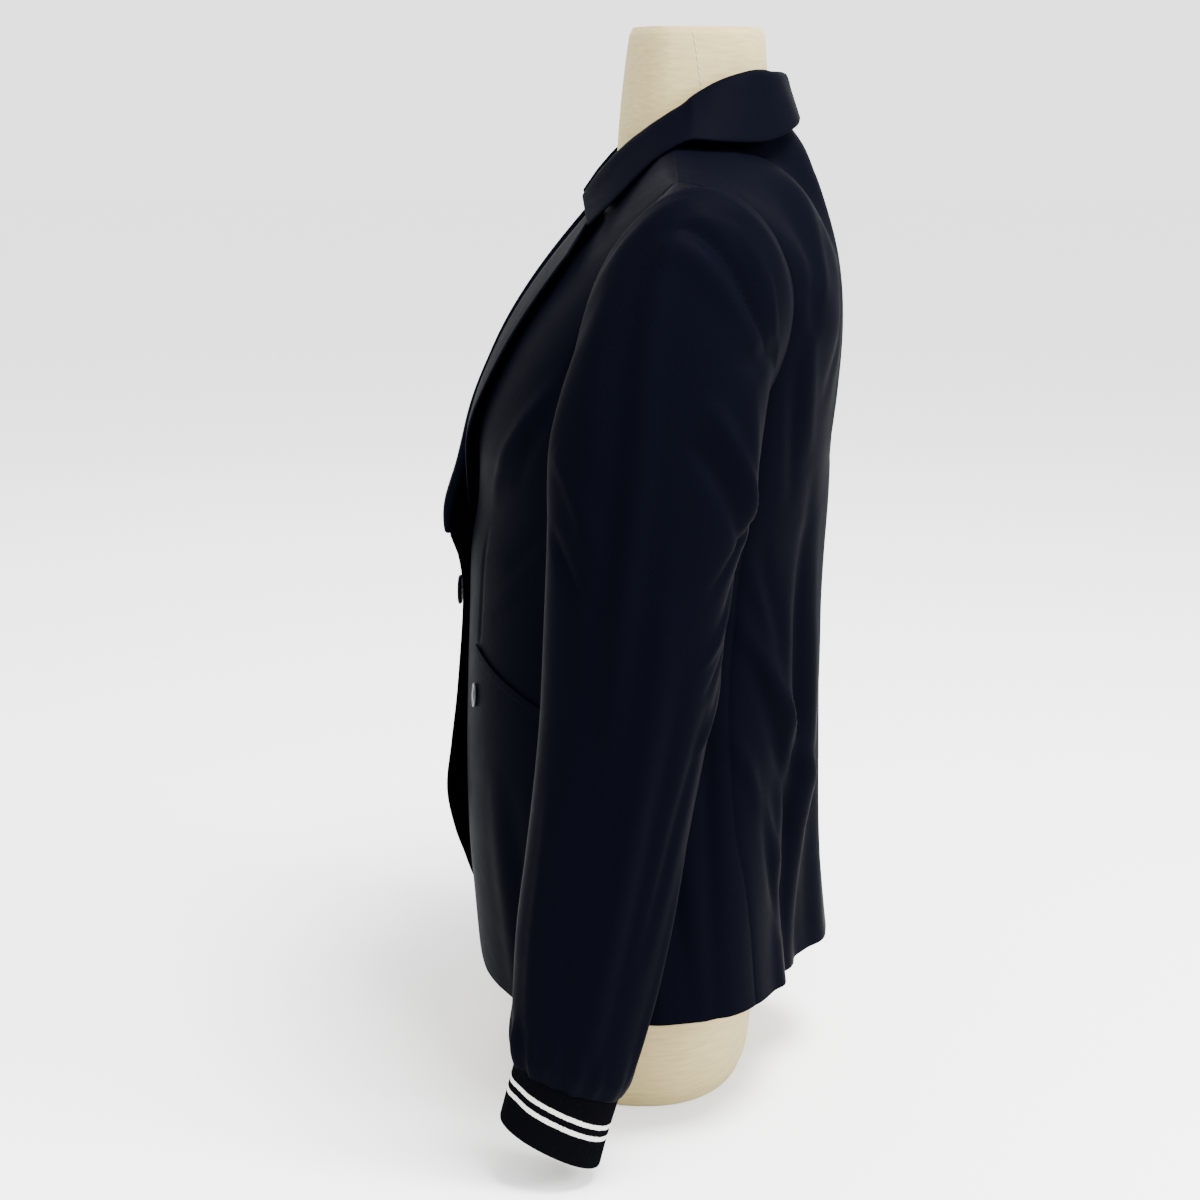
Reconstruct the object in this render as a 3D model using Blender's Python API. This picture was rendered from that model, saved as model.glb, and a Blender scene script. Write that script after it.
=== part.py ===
"""A fitted blazer on a limbless dress form, built from the pieces that are cut and sewn.

Units are metres. +Z is up, the garment faces -Y and the wearer's left side is +X. The torso is
one smooth surface of flattened rings, closed over the shoulders. Each panel is a wall on it,
between its own seams. The right front laps over the left one and stands a little proud.
"""

import math
from collections import namedtuple

import bmesh
import bpy
from mathutils import Vector

# Cloth and seams
CLOTH = 0.0016
COLLAR_CLOTH = 0.0020
CUFF_CLOTH = 0.0018
SEAM_GAP = 0.0004
LAP_GAP = 0.0030

# Jacket lengths and places
HEM_Z = 0.090
NECK_SIDE_X = 0.0685
SHOULDER_CENTRE_Z = 0.690
SHOULDER_SLOPE = 0.208
FRONT_SLOPE_HEIGHT = 0.220
BACK_SLOPE_HEIGHT = 0.115
SHOULDER_CROWN = 0.080
SHOULDER_CROWN_DROP = 0.020
BACK_SLOPE_POWER = 2.2
NECK_RISE = 0.110

# The surface falls off so steeply at the shoulder seam that this drop leaves a 0.3 mm gap there
SHOULDER_SEAM_DROP = 4e-7

# Fullness of the back beside the neck
BACK_CROWN = 0.500
BACK_CROWN_DROP = 0.025
BACK_CROWN_X = 0.040
BACK_CROWN_RISE = 0.035
BACK_CROWN_END_X = 0.090
BACK_CROWN_FADE = 0.050

# Front edges
FRONT_LAP = 0.020
CORNER_WIDTH = 0.112
CORNER_HEIGHT = 0.135
LAPEL_BREAK_Z = 0.395
STAND_INNER_X = -0.010
STAND_FADE_X = 0.085

# Seam places round the torso, in degrees from the centre front
SIDE_FRONT_SEAM = 66.0
SIDE_BACK_SEAM = 118.0
SeamRow = namedtuple("SeamRow", "z angle")
BACK_SEAM_LINE = (
    SeamRow(0.085, 123.1),
    SeamRow(0.142, 121.6),
    SeamRow(0.181, 119.0),
    SeamRow(0.214, 115.5),
    SeamRow(0.256, 113.5),
    SeamRow(0.286, 112.5),
    SeamRow(0.322, 112.7),
    SeamRow(0.352, 113.6),
    SeamRow(0.400, 114.9),
    SeamRow(0.430, 116.6),
    SeamRow(0.455, 118.0),
)

# Steps over which the surface's direction is measured, and how near the shoulder seam counts
STEP_ANGLE = 0.5
STEP_Z = 0.001
SEAM_REACH = 0.002

# Grid sizes
FRONT_COLUMNS = 12
SIDE_COLUMNS = 6
HALF_BACK_COLUMNS = 9
CORNER_ROWS = 6
LOWER_ROWS = 7
JOIN_ROWS = 2
UPPER_ROWS = 8
CUFF_RIBS = 48
CUFF_RIB_HEIGHT = 0.0006

# Button and stud
BUTTON_RADIUS = 0.0110
BUTTON_DEPTH = 0.0028
BUTTON_Z = 0.352
BUTTON_LIFT = 0.0014
BUTTON_SIDES = 24
BUTTON_TILT_ANGLE = 1.0
BUTTON_TILT_Z = 0.004
STUD_HALF_WIDTH = 0.0045
STUD_HALF_HEIGHT = 0.0090
STUD_DEPTH = 0.0022
STUD_ANGLE = 27.0
STUD_Z = 0.2925
STUD_SIDES = 20
DiscPoint = namedtuple("DiscPoint", "lift size")
DISC_PROFILE = (
    DiscPoint(0.0, 1.0),
    DiscPoint(0.65, 1.0),
    DiscPoint(1.0, 0.72),
)

# Pocket welt, from its front end to its back end
WELT_WIDTH = 0.0065
WELT_CLOTH = 0.0015
WELT_FRONT_ANGLE = 28.0
WELT_BACK_ANGLE = 62.0
WELT_FRONT_Z = 0.330
WELT_BACK_Z = 0.295
WELT_COLUMNS = 8

TorsoRow = namedtuple("TorsoRow", "z half_width front_y side_y back_y power")
TORSO = (
    TorsoRow(0.085, 0.190, -0.1175, 0.012, 0.1460, 2.5),
    TorsoRow(0.120, 0.188, -0.1205, 0.012, 0.1420, 2.5),
    TorsoRow(0.180, 0.181, -0.1250, 0.012, 0.1360, 2.5),
    TorsoRow(0.240, 0.172, -0.1260, 0.012, 0.1320, 2.5),
    TorsoRow(0.300, 0.163, -0.1245, 0.012, 0.1295, 2.5),
    TorsoRow(0.350, 0.158, -0.1225, 0.012, 0.1288, 2.5),
    TorsoRow(0.390, 0.159, -0.1210, 0.013, 0.1305, 2.5),
    TorsoRow(0.430, 0.164, -0.1150, 0.014, 0.1330, 2.6),
    TorsoRow(0.480, 0.171, -0.1140, 0.017, 0.1352, 2.8),
    TorsoRow(0.520, 0.174, -0.1110, 0.019, 0.1365, 3.1),
    TorsoRow(0.560, 0.175, -0.1110, 0.020, 0.1372, 3.4),
    TorsoRow(0.600, 0.176, -0.1120, 0.020, 0.1345, 3.6),
    TorsoRow(0.640, 0.179, -0.1130, 0.020, 0.1250, 3.6),
    TorsoRow(0.668, 0.182, -0.1130, 0.020, 0.1155, 3.6),
    TorsoRow(0.680, 0.183, -0.1130, 0.020, 0.1085, 3.6),
    TorsoRow(0.690, 0.184, -0.1130, 0.020, 0.1000, 3.6),
    TorsoRow(0.700, 0.184, -0.1130, 0.020, 0.0920, 3.6),
)

# How far the right front stands off the torso along its edge
StandRow = namedtuple("StandRow", "z forward")
RIGHT_STAND = (
    StandRow(0.085, 0.000),
    StandRow(0.146, 0.0045),
    StandRow(0.170, 0.0088),
    StandRow(0.205, 0.0130),
    StandRow(0.240, 0.0090),
    StandRow(0.280, 0.0050),
    StandRow(0.350, 0.0025),
    StandRow(0.380, 0.0060),
    StandRow(0.403, 0.0155),
    StandRow(0.425, 0.0140),
    StandRow(0.450, 0.0080),
    StandRow(0.480, 0.0020),
    StandRow(0.520, 0.0000),
)

# The line where the front folds back into the lapel, and the lapel's outer edge
RollRow = namedtuple("RollRow", "z x")
ROLL_LINE = (
    RollRow(0.395, -0.0200),
    RollRow(0.430, -0.0050),
    RollRow(0.460, 0.0065),
    RollRow(0.500, 0.0180),
    RollRow(0.540, 0.0280),
    RollRow(0.580, 0.0375),
    RollRow(0.610, 0.0440),
    RollRow(0.634, 0.0500),
    RollRow(0.655, 0.0590),
    RollRow(0.676, 0.0685),
)
LapelRow = namedtuple("LapelRow", "t roll_z edge_x edge_z stand")
LAPEL = (
    LapelRow(0.00, 0.3985, -0.0170, 0.3995, 0.0030),
    LapelRow(0.07, 0.4140, 0.0030, 0.4130, 0.0055),
    LapelRow(0.15, 0.4320, 0.0200, 0.4280, 0.0085),
    LapelRow(0.35, 0.4780, 0.0480, 0.4640, 0.0100),
    LapelRow(0.55, 0.5250, 0.0690, 0.5070, 0.0090),
    LapelRow(0.75, 0.5720, 0.0840, 0.5500, 0.0088),
    LapelRow(0.90, 0.6070, 0.0940, 0.5820, 0.0100),
    LapelRow(1.00, 0.6300, 0.0990, 0.6020, 0.0110),
)

# Across the lapel from the panel's edge: place along it, and forward of the torso
CurlPoint = namedtuple("CurlPoint", "across forward")
LAPEL_CURL = (
    CurlPoint(-0.0012, 0.0000),
    CurlPoint(-0.0036, 0.0012),
    CurlPoint(-0.0044, 0.0036),
    CurlPoint(-0.0030, 0.0060),
)
LAPEL_FLAT_COLUMNS = 4
LAPEL_FLAT_LIFT = 0.0012
LAPEL_ROWS = 15

# The lapel rises from the front's edge at its lower end, and bows up to the collar at its top
LAPEL_START = 0.4
LAPEL_START_T = 0.12
GORGE_LIFT = 0.0125
GORGE_START_T = 0.8
GORGE_INNER = 0.1

# Half the collar, from the centre back to its front end: its fold and its outer edge
CollarRow = namedtuple("CollarRow", "t fold_x fold_y fold_z edge_x edge_y edge_z")
COLLAR = (
    CollarRow(0.00, 0.0000, 0.0960, 0.7215, 0.0000, 0.1120, 0.6905),
    CollarRow(0.14, 0.0310, 0.0905, 0.7230, 0.0420, 0.1060, 0.6885),
    CollarRow(0.28, 0.0500, 0.0745, 0.7235, 0.0740, 0.0845, 0.6830),
    CollarRow(0.42, 0.0590, 0.0500, 0.7155, 0.0880, 0.0540, 0.6810),
    CollarRow(0.55, 0.0620, 0.0290, 0.7020, 0.0920, 0.0300, 0.6775),
    CollarRow(0.67, 0.0620, 0.0060, 0.6870, 0.0940, 0.0090, 0.6665),
    CollarRow(0.79, 0.0580, -0.0120, 0.6730, 0.0945, -0.0060, 0.6560),
    CollarRow(0.90, 0.0530, -0.0270, 0.6570, 0.0950, -0.0220, 0.6400),
    CollarRow(1.00, 0.0490, -0.0400, 0.6400, 0.0965, -0.0410, 0.6215),
)
COLLAR_SHOULDER_T = 0.55
COLLAR_FRONT_Z = 0.6355
BACK_NECK_Z = 0.6930
BACK_NECK_POWER = 0.7
COLLAR_HALF_ROWS = 13
COLLAR_FOLD_RADIUS = 0.0032
COLLAR_FOLD_REACH = 0.45
COLLAR_FALL_REACH = 1.7
COLLAR_FALL_DROP = 0.25
COLLAR_FALL_PARTS = (0.33, 0.67, 1.0)
COLLAR_LIFT = 0.0034

# The armhole, from under the arm to the shoulder tip, on the front and on the back
ArmholeRow = namedtuple("ArmholeRow", "t z front_angle back_angle")
ARMHOLE = (
    ArmholeRow(0.00, 0.4780, 90.0, 90.0),
    ArmholeRow(0.12, 0.4830, 73.0, 100.0),
    ArmholeRow(0.25, 0.4990, 59.0, 109.5),
    ArmholeRow(0.38, 0.5260, 53.5, 117.5),
    ArmholeRow(0.50, 0.5560, 52.3, 123.8),
    ArmholeRow(0.62, 0.5880, 52.0, 127.4),
    ArmholeRow(0.75, 0.6180, 53.4, 127.6),
    ArmholeRow(0.88, 0.6410, 57.0, 124.0),
    ArmholeRow(1.00, 0.6529, 64.0, 116.0),
)
JOIN_Z = 0.455

# Rings down the sleeve: outer and inner points in x and z, front and back points in y and z
SleeveRow = namedtuple("SleeveRow", "t outer_x outer_z inner_x inner_z front_y front_z back_y back_z")
SLEEVE = (
    SleeveRow(0.00, 0.1960, 0.6520, 0.1750, 0.4740, -0.0410, 0.545, 0.0935, 0.572),
    SleeveRow(0.06, 0.2090, 0.6430, 0.1775, 0.4700, -0.0440, 0.535, 0.0910, 0.570),
    SleeveRow(0.12, 0.2215, 0.6220, 0.1795, 0.4660, -0.0480, 0.520, 0.0865, 0.560),
    SleeveRow(0.18, 0.2345, 0.5895, 0.1810, 0.4610, -0.0550, 0.503, 0.0800, 0.540),
    SleeveRow(0.24, 0.2455, 0.5500, 0.1820, 0.4540, -0.0600, 0.487, 0.0755, 0.515),
    SleeveRow(0.30, 0.2540, 0.5060, 0.1825, 0.4430, -0.0612, 0.468, 0.0710, 0.480),
    SleeveRow(0.37, 0.2600, 0.4590, 0.1830, 0.4250, -0.0612, 0.443, 0.0650, 0.443),
    SleeveRow(0.44, 0.2635, 0.4120, 0.1835, 0.4000, -0.0622, 0.410, 0.0545, 0.402),
    SleeveRow(0.52, 0.2655, 0.3660, 0.1850, 0.3600, -0.0640, 0.369, 0.0490, 0.357),
    SleeveRow(0.60, 0.2655, 0.3160, 0.1870, 0.3120, -0.0662, 0.322, 0.0403, 0.306),
    SleeveRow(0.68, 0.2655, 0.2690, 0.1900, 0.2660, -0.0702, 0.277, 0.0315, 0.258),
    SleeveRow(0.76, 0.2655, 0.2170, 0.1935, 0.2150, -0.0760, 0.228, 0.0218, 0.204),
    SleeveRow(0.84, 0.2655, 0.1650, 0.1965, 0.1630, -0.0823, 0.178, 0.0112, 0.150),
    SleeveRow(0.91, 0.2650, 0.1190, 0.1985, 0.1170, -0.0853, 0.131, 0.0002, 0.103),
    SleeveRow(0.97, 0.2640, 0.0870, 0.1990, 0.0850, -0.0868, 0.100, -0.0085, 0.0715),
    SleeveRow(1.00, 0.2590, 0.0725, 0.2020, 0.0705, -0.0850, 0.0845, -0.0150, 0.0585),
)
SLEEVE_RINGS = 18
SLEEVE_POWER = 2.2
CAP_POWER = 1.85
CAP_END_T = 0.3
GATHERS = 9
GATHER_HEIGHT = 0.0008
GATHER_START = 0.9
ARMHOLE_GAP = 0.0013
CAP_TURN_T = 0.8
UNDERARM_T = 0.35
UNDERARM_GAP = 0.00176

CUFF = (
    SleeveRow(0.00, 0.2572, 0.0717, 0.2038, 0.0697, -0.0837, 0.0834, -0.0169, 0.0577),
    SleeveRow(0.50, 0.2575, 0.0485, 0.2045, 0.0465, -0.0893, 0.0625, -0.0240, 0.0335),
    SleeveRow(1.00, 0.2590, 0.0270, 0.2050, 0.0250, -0.0942, 0.0445, -0.0298, 0.0115),
)
CUFF_RINGS = 4

# A fold fades at its ends as this power of a sine
FOLD_END_POWER = 0.6

# Large soft folds of the torso: from one place to another, in degrees and metres
Fold = namedtuple("Fold", "angle_from z_from angle_to z_to half_angle height")
TORSO_FOLDS = (
    Fold(158.0, 0.460, 150.0, 0.080, 7.0, 0.0045),
    Fold(141.0, 0.420, 138.0, 0.080, 6.0, -0.0035),
    Fold(122.0, 0.350, 152.0, 0.200, 6.0, 0.0030),
    Fold(126.0, 0.260, 146.0, 0.120, 5.0, -0.0025),
    Fold(58.0, 0.530, 36.0, 0.460, 7.0, 0.0025),
    Fold(128.0, 0.640, 150.0, 0.520, 7.0, 0.0020),
)

# Where the hem draws in round the back: its middle and half width in degrees, depth, and start
HemDraw = namedtuple("HemDraw", "angle half_angle depth top_z")
HEM_DRAWS = (
    HemDraw(140.0, 26.0, 0.0255, 0.345),
    HemDraw(157.0, 10.0, 0.0130, 0.260),
)

# Large soft folds of the sleeve: places along it, and degrees round it from its outer side
SleeveFold = namedtuple("SleeveFold", "angle_from t_from angle_to t_to half_angle height")
SLEEVE_FOLDS = (
    SleeveFold(6.0, 0.02, 62.0, 0.20, 11.0, -0.0030),
    SleeveFold(-38.0, 0.04, -30.0, 0.50, 12.0, 0.0025),
    SleeveFold(52.0, 0.24, 84.0, 0.40, 12.0, 0.0030),
    SleeveFold(112.0, 0.38, 62.0, 0.50, 10.0, -0.0025),
    SleeveFold(20.0, 0.45, 12.0, 0.95, 14.0, 0.0020),
    SleeveFold(-24.0, 0.55, -18.0, 0.98, 10.0, -0.0020),
)

# The dress form, from its flat base to the top of its neck
FormRow = namedtuple("FormRow", "z half_width front_y back_y power")
FORM = (
    FormRow(0.000, 0.1240, -0.0760, 0.0790, 2.2),
    FormRow(0.012, 0.1290, -0.0800, 0.0835, 2.2),
    FormRow(0.060, 0.1380, -0.0870, 0.0890, 2.2),
    FormRow(0.140, 0.1560, -0.0960, 0.1060, 2.2),
    FormRow(0.210, 0.1580, -0.0960, 0.1120, 2.2),
    FormRow(0.290, 0.1400, -0.0900, 0.1030, 2.2),
    FormRow(0.370, 0.1180, -0.0800, 0.0920, 2.2),
    FormRow(0.430, 0.1250, -0.0860, 0.1000, 2.2),
    FormRow(0.490, 0.1420, -0.1000, 0.1120, 2.3),
    FormRow(0.540, 0.1530, -0.0820, 0.1220, 2.5),
    FormRow(0.590, 0.1620, -0.0520, 0.1270, 2.8),
    FormRow(0.620, 0.1660, -0.0310, 0.1230, 2.8),
    FormRow(0.640, 0.1640, -0.0185, 0.1105, 2.5),
    FormRow(0.652, 0.1350, -0.0165, 0.0995, 2.2),
    FormRow(0.662, 0.0830, -0.0165, 0.0985, 2.05),
    FormRow(0.670, 0.0552, -0.0162, 0.0955, 2.0),
    FormRow(0.682, 0.0545, -0.0155, 0.0915, 2.0),
    FormRow(0.710, 0.0530, -0.0130, 0.0895, 2.0),
    FormRow(0.747, 0.0508, -0.0082, 0.0868, 2.0),
    FormRow(0.753, 0.0488, -0.0057, 0.0843, 2.0),
)
FORM_SIDES = 28
FORM_NECK_BASE_Z = 0.668
FORM_CHEST_Z = 0.5
FORM_CHEST_MIDDLE_Y = 0.020
FORM_HIP_MIDDLE_Y = 0.005
FORM_CLEARANCE = 0.0014
FORM_DROP = 0.0036
FORM_NECK_CLEARANCE = 0.0040
FORM_NECK_X = 0.085
FORM_NECK_FADE = 0.025
FORM_OPENING_MARGIN = 0.030
FORM_OPENING_FADE = 0.020


def at(rows, value):
    """One smooth row of a table at a value of its first column."""
    first = [row[0] for row in rows]
    value = min(max(value, first[0]), first[-1])
    index = max(i for i, start in enumerate(first[:-1]) if start <= value)
    low, high = rows[index], rows[index + 1]
    before = rows[max(index - 1, 0)]
    after = rows[min(index + 2, len(rows) - 1)]
    width = high[0] - low[0]
    part = (value - low[0]) / width
    mixed = [value]
    for column in range(1, len(low)):
        slope_low = (high[column] - before[column]) / (high[0] - before[0])
        slope_high = (after[column] - low[column]) / (after[0] - low[0])
        mixed.append(
            low[column] * (1 + 2 * part) * (1 - part) ** 2
            + slope_low * width * part * (1 - part) ** 2
            + high[column] * part**2 * (3 - 2 * part)
            - slope_high * width * part**2 * (1 - part)
        )
    return type(low)(*mixed)


def mix(a, b, part):
    return a + (b - a) * part


def ease(part):
    part = min(max(part, 0.0), 1.0)
    return part * part * (3 - 2 * part)


def shoulder_z(x):
    return SHOULDER_CENTRE_Z - SHOULDER_SLOPE * abs(x)


def ring_place(angle, power):
    """Sideways and forward parts, each up to 1, on a flattened ring at an angle in degrees."""
    side = math.sin(math.radians(angle))
    ahead = math.cos(math.radians(angle))
    reach = (abs(side) ** power + abs(ahead) ** power) ** (-1 / power)
    return side * reach, ahead * reach


def fold_height(folds, angle, along):
    """The sum of the folds at a place, each one a soft ridge or trough that fades at its ends."""
    height = 0.0
    for fold in folds:
        span = fold[3] - fold[1]
        part = (along - fold[1]) / span
        if not 0.0 < part < 1.0:
            continue
        middle = mix(fold[0], fold[2], part)
        across = (angle - middle) / fold.half_angle
        fade = math.sin(math.pi * part) ** FOLD_END_POWER
        height += fold.height * fade * math.exp(-across * across)
    return height


def drawn_in(angle, z):
    """How far the cloth is drawn in towards the hem, at an angle from the front."""
    depth = 0.0
    for row in HEM_DRAWS:
        across = (angle - row.angle) / row.half_angle
        fall = ease((row.top_z - z) / (row.top_z - HEM_Z))
        depth += row.depth * fall * math.exp(-across * across)
    return depth


def crown(drop, scale):
    """A low swell that starts steeply at the shoulder seam and dies away below it."""
    return math.sqrt(drop / scale) * math.exp(-drop / scale)


def torso_point(angle, z):
    """A point of the torso's surface at an angle from the front."""
    row = at(TORSO, z)
    side, ahead = ring_place(angle, row.power)
    x = row.half_width * side
    drop = max(shoulder_z(x) - z, 0.0)
    if ahead >= 0:
        slope = math.sin(math.pi / 2 * min(drop / FRONT_SLOPE_HEIGHT, 1.0))
        slope += SHOULDER_CROWN * crown(drop, SHOULDER_CROWN_DROP)
        y = row.side_y - (row.side_y - row.front_y) * ahead * slope
    else:
        beside = ease((abs(x) - BACK_CROWN_X) / BACK_CROWN_RISE)
        beside *= 1 - ease((abs(x) - BACK_CROWN_END_X) / BACK_CROWN_FADE)
        drop += NECK_RISE * ease(1 - abs(x) / NECK_SIDE_X)
        level = 1 - min(drop / BACK_SLOPE_HEIGHT, 1.0)
        slope = math.sqrt(1 - level**BACK_SLOPE_POWER)
        slope += BACK_CROWN * beside * crown(drop, BACK_CROWN_DROP)
        y = row.side_y - (row.back_y - row.side_y) * ahead * slope
    out = fold_height(TORSO_FOLDS, abs(angle), z) - drawn_in(abs(angle), z)
    turn = math.radians(angle)
    return Vector((x + out * math.sin(turn), y - out * math.cos(turn), z))


def angle_of_x(x, z):
    """The angle at which the front of the torso's ring reaches x."""
    row = at(TORSO, z)
    side = min(abs(x) / row.half_width, 1.0)
    ahead = (1 - side**row.power) ** (1 / row.power)
    return math.copysign(math.degrees(math.atan2(side, ahead)), x)


def torso_normal(angle, z):
    """The outward direction of the torso's surface, square to the shoulder along its seam."""
    x = torso_point(angle, z).x
    if shoulder_z(x) - z < SEAM_REACH and abs(x) > NECK_SIDE_X / 2:
        return Vector((math.copysign(SHOULDER_SLOPE, x), 0.0, 1.0)).normalized()
    along = torso_point(angle + STEP_ANGLE, z) - torso_point(angle - STEP_ANGLE, z)
    up = torso_point(angle, z) - torso_point(angle, z - STEP_Z)
    return along.cross(up).normalized()


def mirrored(vector):
    return Vector((-vector.x, vector.y, vector.z))


def material(name, colour, roughness, metallic=0.0):
    made = bpy.data.materials.new(name)
    made.use_nodes = True
    shader = made.node_tree.nodes["Principled BSDF"]
    shader.inputs["Base Color"].default_value = (*colour, 1.0)
    shader.inputs["Roughness"].default_value = roughness
    shader.inputs["Metallic"].default_value = metallic
    return made


def add_mesh(name, points, faces, finish, mirror=False):
    """One named object with its faces turned outwards."""
    if mirror:
        points = [mirrored(p) for p in points]
    mesh = bpy.data.meshes.new(name)
    mesh.from_pydata([tuple(p) for p in points], [], faces)
    shape = bmesh.new()
    shape.from_mesh(mesh)
    bmesh.ops.recalc_face_normals(shape, faces=shape.faces)
    shape.to_mesh(mesh)
    shape.free()
    mesh.shade_smooth()
    mesh.set_sharp_from_angle(angle=math.radians(40))
    mesh.materials.append(finish)
    made = bpy.data.objects.new(name, mesh)
    bpy.context.scene.collection.objects.link(made)
    return made


def grid_normals(grid, closed):
    """Directions square to a grid of points, from its rows and columns."""
    rows, columns = len(grid), len(grid[0])
    normals = []
    for i in range(rows):
        line = []
        for j in range(columns):
            left = grid[i][(j - 1) % columns if closed else max(j - 1, 0)]
            right = grid[i][(j + 1) % columns if closed else min(j + 1, columns - 1)]
            below = grid[max(i - 1, 0)][j]
            above = grid[min(i + 1, rows - 1)][j]
            line.append((right - left).cross(above - below).normalized())
        normals.append(line)
    return normals


def wall(name, grid, thickness, finish, normals=None, closed=False, relief=None, mirror=False):
    """A cloth wall on a grid of mid points: two skins, joined round its edges."""
    rows, columns = len(grid), len(grid[0])
    normals = normals or grid_normals(grid, closed)
    outer, inner = [], []
    for i in range(rows):
        for j in range(columns):
            raised = relief[i][j] if relief else 0.0
            outer.append(grid[i][j] + normals[i][j] * (thickness / 2 + raised))
            inner.append(grid[i][j] - normals[i][j] * (thickness / 2))
    points = outer + inner
    back = rows * columns
    faces = []
    for i in range(rows - 1):
        for j in range(columns if closed else columns - 1):
            k = (j + 1) % columns
            a, b = i * columns + j, i * columns + k
            c, d = a + columns, b + columns
            faces += [(a, b, d, c), (back + a, back + c, back + d, back + b)]
    for j in range(columns if closed else columns - 1):
        k = (j + 1) % columns
        top = (rows - 1) * columns
        faces += [(j, back + j, back + k, k), (top + j, top + k, back + top + k, back + top + j)]
    if not closed:
        for i in range(rows - 1):
            a, b = i * columns, (i + 1) * columns
            c, d = a + columns - 1, b + columns - 1
            faces += [(a, b, back + b, back + a), (c, back + c, back + d, d)]
    return add_mesh(name, points, faces, finish, mirror)


def lower_levels():
    """Heights of the rows that all panels share, closer together at the rounded corner."""
    levels = []
    for i in range(CORNER_ROWS):
        turn = math.pi / 2 * i / CORNER_ROWS
        levels.append(HEM_Z + CORNER_HEIGHT * (1 - math.cos(turn)))
    top = HEM_Z + CORNER_HEIGHT
    for i in range(LOWER_ROWS + 1):
        levels.append(mix(top, JOIN_Z, i / LOWER_ROWS))
    return levels


def front_edge_x(z):
    """The front edge seen from the front: rounded corner, straight edge, then the fold line."""
    corner_top = HEM_Z + CORNER_HEIGHT
    if z < corner_top:
        part = (corner_top - z) / CORNER_HEIGHT
        return CORNER_WIDTH * (1 - math.sqrt(max(1 - part * part, 0.0))) - FRONT_LAP
    if z < LAPEL_BREAK_Z:
        return -FRONT_LAP
    return at(ROLL_LINE, z).x


def stand_forward(x, z):
    """How far the right front stands off the torso at its own x."""
    fade = 1 - ease((x - STAND_INNER_X) / (STAND_FADE_X - STAND_INNER_X))
    return (LAP_GAP + at(RIGHT_STAND, z).forward) * fade


def front_place(angle, z, right):
    """A front panel's mid point, in the coordinates of its own side."""
    point = torso_point(angle, z)
    if right:
        point.y -= stand_forward(point.x, z)
    return point


def back_seam(z):
    """The angle of the seam between a side and the back."""
    return at(BACK_SEAM_LINE, z).angle


def seam_step(angle, z):
    """Half a seam's gap as an angle."""
    return math.degrees(SEAM_GAP / 2 / max(torso_point(angle, z).xy.length, 0.05))


def shoulder_level(angle):
    """The height at which a line up the torso meets the shoulder seam."""
    z = SHOULDER_CENTRE_Z
    for _ in range(12):
        z = shoulder_z(torso_point(angle, z).x) - SHOULDER_SEAM_DROP
    return z


def armhole_meets(angle):
    """The place on the armhole above a seam or a place under the arm."""
    low, high = 0.0, 0.4
    for _ in range(30):
        middle = (low + high) / 2
        row = at(ARMHOLE, middle)
        reached = row.back_angle if angle > 90 else row.front_angle
        inside = abs(reached - 90) < abs(angle - 90)
        low, high = (middle, high) if inside else (low, middle)
    return low


def armhole_place(t, back):
    """The angle and height of a place on the armhole, which ends on the shoulder seam."""
    row = at(ARMHOLE, t)
    angle = row.back_angle if back else row.front_angle
    return angle, shoulder_level(angle) if t > 0.999 else row.z


def outer_edge(seam, front):
    """A front's or a back's outer edge above the shared rows: its seam, then the armhole."""
    foot = armhole_meets(seam)
    foot_z = at(ARMHOLE, foot).z
    step = seam_step(seam, foot_z) * (-1 if front else 1)
    edge = []
    for i in range(1, JOIN_ROWS + 1):
        edge.append((seam + step, mix(JOIN_Z, foot_z, i / JOIN_ROWS)))
    for i in range(1, UPPER_ROWS + 1):
        edge.append(armhole_place(mix(foot, 1.0, i / UPPER_ROWS), not front))
    return edge


def make_fronts(cloth):
    """Rows run from the front edge to the side seam or the armhole, and end at the shoulder."""
    lower = lower_levels()
    outer = [(SIDE_FRONT_SEAM - seam_step(SIDE_FRONT_SEAM, z), z) for z in lower]
    outer += outer_edge(SIDE_FRONT_SEAM, True)
    neck_z = shoulder_z(NECK_SIDE_X) - SHOULDER_SEAM_DROP
    rising = JOIN_ROWS + UPPER_ROWS
    inner_z = lower + [mix(JOIN_Z, neck_z, (i + 1) / rising) for i in range(rising)]
    neck_angle = angle_of_x(NECK_SIDE_X, neck_z)
    tip_angle, tip_z = outer[-1]
    for name, right in (("front_left", False), ("front_right", True)):
        grid, normals = [], []
        for i, (z_in, (angle_out, z_out)) in enumerate(zip(inner_z, outer)):
            rise = ease((i + 1 - len(lower)) / rising) ** 2
            line, directions = [], []
            for j in range(FRONT_COLUMNS + 1):
                part = j / FRONT_COLUMNS
                angle = mix(angle_of_x(front_edge_x(z_in), z_in), angle_out, part)
                bow = shoulder_level(mix(neck_angle, tip_angle, part)) - mix(neck_z, tip_z, part)
                z = min(mix(z_in, z_out, part) + bow * rise, shoulder_level(angle))
                line.append(front_place(angle, z, right))
                directions.append(torso_normal(angle, z))
            grid.append(line)
            normals.append(directions)
        wall(name, grid, CLOTH, cloth, normals, mirror=right)


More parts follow.
